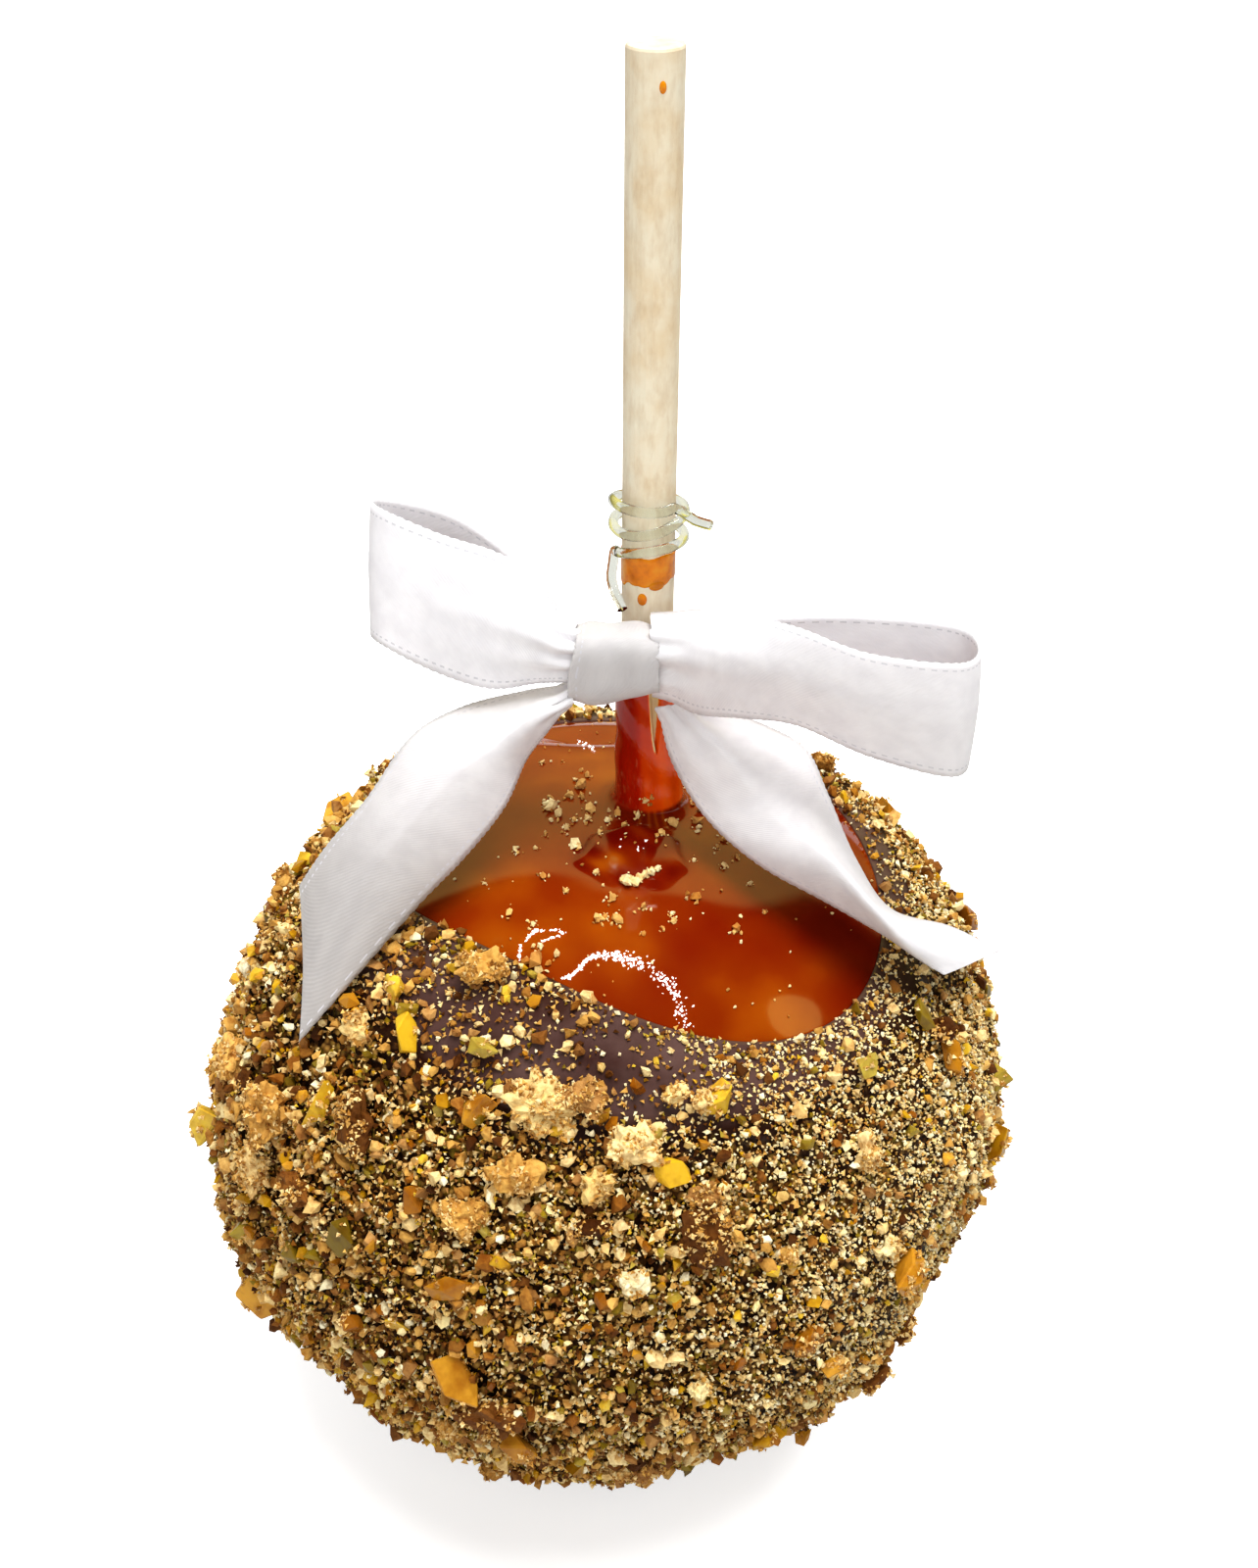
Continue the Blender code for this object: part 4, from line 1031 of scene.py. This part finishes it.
buildCrownCrumbs()
buildGlints()
print("crown crumbs are placed")


# the paper stick keeps its solid; only its finish is made here

def paperMaterial():
    material = newMaterial("rolledPaper", Roughness=0.72)
    fibres = noiseValue(material, objectCoords(material, (1, 1, 0.35)), 900.0, 4.0, 0.6)
    cloud = noiseValue(material, objectCoords(material), 170.0, 4.0, 0.6)
    tone = colourRamp(material, cloud, ((0.32, (0.84, 0.69, 0.47)), (0.52, (0.90, 0.80, 0.61)),
                                        (0.72, (0.92, 0.86, 0.69))))
    fleck = colourRamp(material, fibres, ((0.30, (0.86, 0.80, 0.74)), (0.55, (1.0, 1.0, 1.0))))
    return dress(material, mixColour(material, 0.8, tone, fleck, "MULTIPLY"), fibres, 0.25, 0.0002)


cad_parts["paper_stick"].data.materials[0] = paperMaterial()

film = {
    "top": 130.6 * mm, "foot": 126.6 * mm, "thick": 0.16 * mm, "sunk": 0.05 * mm, "columns": 120, "rows": 24,
    "ragged": ((3, 1.0, 0.245), (7, 0.0, 0.175), (13, 2.0, 0.084)),   # waves round, their turn, millimetres
    "topWave": 0.15 * mm,
    "tongue": math.radians(-20), "tongueWide": 0.5, "tongueHigh": 0.7 * mm,
    "drops": (   # degrees round, then millimetres: height, half sizes across, up and out
        (-103, 125.3, 0.55, 0.75, 0.3), (-76, 181.4, 0.36, 0.62, 0.25), (-72, 127.0, 0.9, 0.6, 0.2),
    ),
}


def filmMaterial():
    material = newMaterial("caramelFilm", Roughness=0.16, IOR=1.4, Coat_Weight=0.15, Coat_Roughness=0.05,
                           Subsurface_Weight=0.3, Subsurface_Scale=0.001, Subsurface_Radius=(1.0, 0.4, 0.05))
    cloud = noiseValue(material, objectCoords(material), 420.0, 4.0, 0.6)
    return dress(material, colourRamp(material, cloud, (
        (0.30, (0.52, 0.12, 0.003)), (0.50, (0.80, 0.25, 0.006)), (0.72, (0.86, 0.38, 0.02)))))


def buildFilm(material):
    # a smear of caramel round the stick with a ragged lower edge, two drips and a small stain near the top
    def place(u, v):
        azimuth = 2 * math.pi * u
        ragged = sum(high * mm * np.sin(count * azimuth + turn) for count, turn, high in film["ragged"])
        tongue = film["tongueHigh"] * bell(angleGap(azimuth, film["tongue"]), film["tongueWide"])
        foot = film["foot"] + ragged + tongue
        height = film["top"] + film["topWave"] * np.sin(5 * azimuth) + (foot - film["top"]) * v
        edge = smooth(np.minimum(v, 1 - v) * 12)
        return roundStick(azimuth, stick["radius"] - film["sunk"] + film["thick"] * edge, height)

    bm = bmesh.new()
    mappedGrid(bm, film["columns"], film["rows"], place)
    weld(bm)
    for around, height, wide, tall, deep in film["drops"]:
        drop = bmesh.ops.create_icosphere(bm, subdivisions=3, radius=1.0)["verts"]
        bmesh.ops.scale(bm, vec=(wide * mm, deep * mm, tall * mm), verts=drop)
        turn = Matrix.Rotation(math.radians(around + 90), 4, "Z")
        spot = roundStick(math.radians(around), stick["radius"], height * mm)
        bmesh.ops.transform(bm, matrix=Matrix.Translation(Vector(spot)) @ turn, verts=drop)
    meshObject("caramelSmear", bm, material)


buildFilm(filmMaterial())
print("stick is finished")


# the clear elastic tie

tie = {
    "radius": 0.6 * mm, "high": 137.0 * mm, "low": 131.0 * mm, "turns": 2.31, "steps": 110,
    "start": math.radians(-48), "slack": 0.25 * mm, "wave": 0.35 * mm,
    "stub": ((12.4, -2.6, 134.4), (10.6, -3.0, 135.2)),   # millimetres
    "strand": ((1.6, -1.6, 129.6), (1.4, -2.6, 127.6), (2.6, -5.4, 125.4)),
}


def tieRoute():
    reach = stick["radius"] + stick["clearance"] + tie["radius"] + tie["slack"]
    turns = []
    for step in range(tie["steps"] + 1):
        share = step / tie["steps"]
        azimuth = tie["start"] - 2 * math.pi * tie["turns"] * share
        height = tie["high"] + (tie["low"] - tie["high"]) * share + tie["wave"] * math.sin(azimuth * 1.7)
        turns.append(Vector(roundStick(azimuth, reach, height)))
    stub, strand = ([Vector(spot) * mm for spot in tie[end]] for end in ("stub", "strand"))
    return [*stub, *turns, *strand]


def buildTie():
    material = newMaterial("clearElastic", Base_Color=(0.90, 0.93, 0.88), Roughness=0.04, IOR=1.45,
                           Transmission_Weight=1.0)
    curve = bpy.data.curves.new("tieLine", "CURVE")
    curve.dimensions = "3D"
    curve.bevel_depth = tie["radius"]
    curve.bevel_resolution = 5
    curve.use_fill_caps = True
    route = tieRoute()
    spline = curve.splines.new("BEZIER")
    spline.bezier_points.add(len(route) - 1)
    for point, spot in zip(spline.bezier_points, route):
        point.co = spot
        point.handle_left_type = point.handle_right_type = "AUTO"
    spline.resolution_u = 3
    line = addObject("tieLine", curve)
    mesh = bpy.data.meshes.new_from_object(line.evaluated_get(bpy.context.evaluated_depsgraph_get()))
    mesh.materials.clear()
    bpy.data.objects.remove(line)
    placeMesh("elasticTie", mesh, material, ("elastic_tie",))


buildTie()
print("tie is wound")


# the satin bow

ribbons = {   # flat in metres, places in millimetres; pleats: number, height, share of the length they fade in; shade: painted shade, and above 1 painted light, along the length
    "loopLeft": {
        "node": "bow_loop_left", "tuck": (1.6, 0.2, 0.0), "flat": (0.016, 0.064), "crease": 0.25,
        "pleats": (4, 0.55, 0.10), "shade": (1.04, 1.08, 1.0, 0.95),
        "stations": (
            ((-4.0, -6.5, 124.5), (-4.0, -9.5, 122.5), (-4.0, -9.0, 118.2)),
            ((-6.5, -5.0, 128.5), (-6.5, -9.5, 124.0), (-7.0, -8.5, 117.8)),
            ((-11.0, -3.0, 131.0), (-11.5, -7.0, 124.5), (-12.5, -7.5, 116.5)),
            ((-18.0, 0.0, 132.0), (-18.5, -3.0, 125.0), (-19.0, -4.5, 117.0)),
            ((-24.5, 3.0, 133.5), (-25.0, 0.5, 126.0), (-25.0, -2.0, 119.0)),
            ((-26.0, 5.5, 133.5), (-26.5, 3.5, 126.5), (-26.5, 1.0, 119.0)),
            ((-24.0, 7.0, 133.0), (-24.5, 6.0, 126.0), (-24.0, 4.0, 118.0)),
            ((-16.5, 4.5, 132.0), (-17.0, 4.5, 124.0), (-16.5, 3.0, 115.5)),
            ((-10.0, 1.0, 128.5), (-11.0, 0.5, 122.0), (-12.0, -1.5, 114.0)),
            ((-4.2, -3.5, 123.0), (-4.2, -4.2, 120.5), (-4.2, -5.0, 118.2)),
        ),
    },
    "loopRight": {
        "node": "bow_loop_right", "tuck": (-1.6, 0.2, 0.0), "flat": (0.016, 0.084), "crease": 0.25,
        "pleats": (4, 0.5, 0.08), "shade": (0.99, 1.0, 1.06, 1.15),
        "stations": (
            ((7.4, -5.0, 124.5), (7.4, -10.0, 123.5), (7.6, -8.5, 116.0)),
            ((11.0, -5.0, 125.0), (11.0, -11.5, 124.0), (11.0, -9.2, 114.2)),
            ((16.0, -9.0, 126.5), (15.5, -12.5, 123.0), (16.0, -9.8, 114.0)),
            ((21.5, -12.5, 127.0), (22.0, -13.5, 121.0), (22.5, -9.8, 113.0)),
            ((29.5, -14.0, 124.5), (30.0, -14.0, 118.0), (31.0, -11.0, 109.5)),
            ((39.5, -13.5, 123.0), (40.0, -13.5, 116.0), (40.5, -12.0, 107.5)),
            ((42.0, -10.5, 123.5), (42.5, -10.0, 116.5), (42.5, -8.0, 108.5)),
            ((39.5, -6.5, 124.0), (40.0, -6.0, 117.0), (40.5, -4.0, 109.5)),
            ((28.0, -3.5, 123.5), (28.5, -2.5, 117.0), (29.0, -0.5, 110.0)),
            ((16.0, -3.0, 122.5), (16.5, -2.0, 117.5), (17.0, -1.0, 112.5)),
            ((9.6, -3.6, 121.0), (9.6, -3.4, 118.5), (9.8, -3.4, 116.0)),
        ),
    },
    "tailLeft": {
        "node": "bow_tail_left", "tuck": (1.0, 0.3, 0.6), "flat": (0.016, 0.054), "crease": 0.4,
        "pleats": (3, 0.4, 0.10), "shade": (0.97, 0.95, 0.84, 0.70, 0.50),
        "stations": (
            ((-4.2, -7.5, 116.6), (-4.0, -10.5, 116.4), (-4.2, -9.5, 114.6)),
            ((-8.5, -6.0, 115.0), (-7.5, -12.0, 115.5), (-6.0, -10.5, 112.5)),
            ((-16.0, -5.5, 112.5), (-11.5, -13.0, 112.5), (-8.5, -11.0, 109.0)),
            ((-21.5, -9.5, 111.0), (-16.0, -15.0, 110.0), (-11.0, -14.0, 104.5)),
            ((-26.5, -13.0, 105.0), (-21.5, -18.0, 105.0), (-15.5, -17.5, 100.0)),
            ((-31.5, -14.0, 99.0), (-26.0, -20.0, 99.5), (-21.5, -20.5, 94.5)),
            ((-35.0, -15.0, 94.0), (-34.0, -23.0, 88.5), (-34.5, -28.0, 81.5)),
        ),
    },
    "tailRight": {
        "node": "bow_tail_right", "tuck": (-0.6, 0.2, 0.8), "flat": (0.016, 0.056), "crease": 0.4,
        "pleats": (3, 0.4, 0.10), "shade": (0.92, 0.88, 0.86, 0.92, 1.0),
        "stations": (
            ((12.0, -4.4, 112.5), (9.5, -6.8, 113.0), (7.0, -6.6, 112.4)),
            ((19.5, -4.0, 109.0), (14.0, -10.5, 110.0), (8.5, -8.5, 107.0)),
            ((24.0, -6.0, 107.0), (18.5, -12.5, 104.5), (12.5, -12.0, 101.5)),
            ((26.5, -8.5, 102.5), (22.5, -16.0, 102.0), (18.5, -15.5, 97.5)),
            ((30.0, -12.0, 95.5), (26.5, -19.0, 100.5), (26.0, -18.5, 94.5)),
            ((34.5, -13.0, 89.0), (31.5, -21.5, 95.5), (32.5, -20.0, 91.0)),
            ((42.5, -10.0, 84.0), (36.5, -20.5, 90.0), (36.8, -20.0, 87.5)),
            ((49.0, -9.0, 79.5), (44.5, -15.0, 82.5), (40.5, -19.0, 84.0)),
        ),
    },
}
cloth = {
    "thickness": 0.35 * mm, "columns": 300, "rows": 26, "picotPitch": 1.05, "picot": 0.14 * mm,
    "tuckShare": 0.05, "stitch": (0.64, 0.63, 0.66), "middle": 8.0,
    "stitchLine": (7.1, 0.11), "stitchLong": 0.52,   # millimetres from the middle, half wide, and long
    "shadeTint": {"Red": 1.0, "Green": 1.04, "Blue": 1.12},
}


def along(points, share):
    # a smooth curve through the rail's points
    spans = len(points) - 1
    place = np.minimum(share * spans, spans - 1e-6)
    index = place.astype(int)
    t = (place - index)[:, None]
    before, start = points[np.maximum(index - 1, 0)], points[index]
    end, after = points[index + 1], points[np.minimum(index + 2, spans)]
    return 0.5 * (2 * start + (end - before) * t + (2 * before - 5 * start + 4 * end - after) * t * t
                  + (3 * start - before - 3 * end + after) * t ** 3)


def satinMaterial():
    material = newMaterial(
        "whiteSatin", Roughness=0.42, Sheen_Weight=0.15, Sheen_Roughness=0.4, Subsurface_Weight=0.35,
        Subsurface_Scale=0.0015, Subsurface_Radius=(1.0, 0.95, 0.9))
    uv = addNode(material, "ShaderNodeUVMap", uv_map="weave").outputs["UV"]
    parts = addNode(material, "ShaderNodeSeparateXYZ", {"Vector": uv}).outputs
    away = calc(material, "ABSOLUTE", calc(material, "SUBTRACT", parts["Y"], cloth["middle"]))
    onLine = calc(material, "COMPARE", away, *cloth["stitchLine"])
    pitch = calc(material, "MODULO", parts["X"], cloth["picotPitch"])
    mark = calc(material, "MULTIPLY", onLine, calc(material, "LESS_THAN", pitch, cloth["stitchLong"]))
    cloud = noiseValue(material, uv, 0.35, 2.0)
    tone = colourRamp(material, cloud, ((0.35, (0.79, 0.77, 0.79)), (0.65, (0.86, 0.84, 0.855))))
    # painted shade and light: each point's shade number darkens or brightens the satin and warms its shade, as
    # light thrown back from the caramel would
    shade = readAttribute(material, "shade")
    channels = {name: calc(material, "POWER", shade, power) for name, power in cloth["shadeTint"].items()}
    warm = addNode(material, "ShaderNodeCombineColor", channels).outputs[0]
    tone = mixColour(material, mark, mixColour(material, 1.0, tone, warm, "MULTIPLY"), cloth["stitch"])
    threads = {"Vector": uv, "Scale": 1.3, "Distortion": 0.6, "Detail": 1.0}
    weave = addNode(material, "ShaderNodeTexWave", threads, bands_direction="DIAGONAL").outputs["Fac"]
    return dress(material, tone, calc(material, "MULTIPLY_ADD", mark, -2.0, weave), 0.12, 0.00015)


satin = satinMaterial()


def thicken(sheet, offset):
    wall = sheet.modifiers.new("thickness", "SOLIDIFY")
    wall.thickness = cloth["thickness"]
    wall.offset = offset


def satinObject(name, bm, shade, replaced=()):
    thing = meshObject(name, bm, satin, replaced)
    setAttribute(thing.data, "shade", np.broadcast_to(shade, len(thing.data.vertices)))
    thing.visible_glossy = False   # its mirror image would haze the caramel below
    return thing


def edgeSign(v):
    # 1 on the far edge of the ribbon and -1 on the near one
    return (v > 0.999) * 1.0 - (v < 0.001) * 1.0


def unit(vectors):
    return vectors / np.maximum(np.linalg.norm(vectors, axis=1, keepdims=True), 1e-12)


def ribbonSheet(name, spec):
    rails = [np.array([station[side] for station in spec["stations"]], float) * mm for side in range(3)]
    width, length = spec["flat"]
    folds, depth, reach = spec["pleats"]
    looped = name.startswith("loop")

    def surface(u, v):
        top, ridge, bottom = (along(rail, u) for rail in rails)
        w = v[:, None]
        bend = ridge * 2 - (top + bottom) * 0.5
        curved = top * (1 - w) ** 2 + bend * 2 * w * (1 - w) + bottom * w * w
        straight = np.where(w < 0.5, top + (ridge - top) * w * 2, ridge + (bottom - ridge) * (w * 2 - 1))
        return curved + (straight - curved) * spec["crease"]

    def place(u, v):
        step = 0.004
        alongEdge = surface(np.minimum(u + step, 1), v) - surface(np.maximum(u - step, 0), v)
        across = surface(u, np.minimum(v + step, 1)) - surface(u, np.maximum(v - step, 0))
        ends = (u, 1 - u) if looped else (u,)   # how far from each end that the knot holds
        near = sum(np.exp(-end / reach) for end in ends)
        push = depth * mm * near * np.cos(2 * math.pi * folds * v) * smooth(np.minimum(v, 1 - v) * 6)
        tucked = sum(smooth(1 - end / cloth["tuckShare"]) for end in ends)
        scallop = np.abs(np.sin(math.pi * u * length / mm / cloth["picotPitch"])) * cloth["picot"]
        spot = surface(u, v) + unit(np.cross(alongEdge, across)) * push[:, None]
        spot = spot + np.array(spec["tuck"]) * mm * tucked[:, None]
        return spot + unit(across) * (scallop * edgeSign(v))[:, None]

    bm = bmesh.new()
    flat = mappedGrid(bm, cloth["columns"], cloth["rows"], place, uv=(length / mm, width / mm))
    shade = np.interp(flat[:, 0], np.linspace(0, 1, len(spec["shade"])), spec["shade"])
    sheet = satinObject(name, bm, shade, (spec["node"],))
    thicken(sheet, 0.0)


knot = {
    "low": (-3.4, -11.0, 115.4), "high": (6.6, -4.7, 124.4), "flat": (0.0105, 0.027), "uv": (27.0, 10.5),
    "columns": 160, "rows": 40, "square": 0.55, "rise": 1.0 * mm, "sag": 1.2 * mm, "fold": 0.16 * mm,
    # the knot and its pleats are darkened with painted shade
    "shade": 0.72, "weld": 0.002 * mm,
    "fill": 0.82, "fillUv": (10.0, 27.0), "fillColumns": 88, "fillRows": 16, "fillFolds": 11,
    "fillWave": 0.07,
}


def knotRing(half, turn, share, fit):
    # round the band: a rounded square that rises at its upper left and sags at its lower right
    x = share * half[0]
    y, z = (np.sign(wave) * np.abs(wave) ** knot["square"] * size * fit
            for wave, size in ((np.cos(turn), half[1]), (np.sin(turn), half[2])))
    upper = z > 0
    x = x + np.where(upper & (x < 0), knot["rise"] * (z / half[2]) * (-x / half[0]), 0.0)
    z = z + np.where(~upper, knot["sag"] * smooth(x / half[0] + 0.2) * (-z / half[2]), 0.0)
    return x, y, z


def buildKnot():
    low, high = np.array(knot["low"]) * mm, np.array(knot["high"]) * mm
    middle, half = (low + high) / 2, (high - low) / 2

    def band(u, v):
        turn = 2 * math.pi * u + math.pi / 2
        x, y, z = knotRing(half, turn, v * 2 - 1, 1.0)
        squeeze = 1 - 0.10 * bell(np.abs(x / half[0]) - 1.0, 0.35)
        fold = knot["fold"] * np.sin(9 * v + 0.6 * np.sin(turn)) * smooth(np.minimum(v, 1 - v) * 5)
        scallop = np.abs(np.sin(turn * 13)) * cloth["picot"] * edgeSign(v)
        return middle + np.stack([x + scallop, y * squeeze + np.sign(y) * fold,
                                  z * squeeze + np.sign(z) * fold * 0.5], axis=-1)

    def gathered(u, v):
        # the pleated middles of the ribbons, which fill the band
        turn, share = 2 * math.pi * u, v * 2 - 1
        wave = 1 + knot["fillWave"] * np.sin(knot["fillFolds"] * turn)
        fit = knot["fill"] * np.sqrt(np.maximum(1 - share ** 4, 0.0)) * wave
        return middle + np.stack(knotRing(half, turn, share * 0.96, fit), axis=-1)

    bm = bmesh.new()
    mappedGrid(bm, knot["columns"], knot["rows"], band, uv=knot["uv"])
    weld(bm, knot["weld"])
    sheet = satinObject("bowKnot", bm, knot["shade"], ("bow_knot",))
    thicken(sheet, -1.0)
    bm = bmesh.new()
    mappedGrid(bm, knot["fillColumns"], knot["fillRows"], gathered, uv=knot["fillUv"])
    weld(bm, knot["weld"])
    satinObject("bowPleats", bm, knot["shade"])


buildKnot()
for ribbonName, ribbonSpec in ribbons.items():
    ribbonSheet(ribbonName, ribbonSpec)
print("bow is tied")
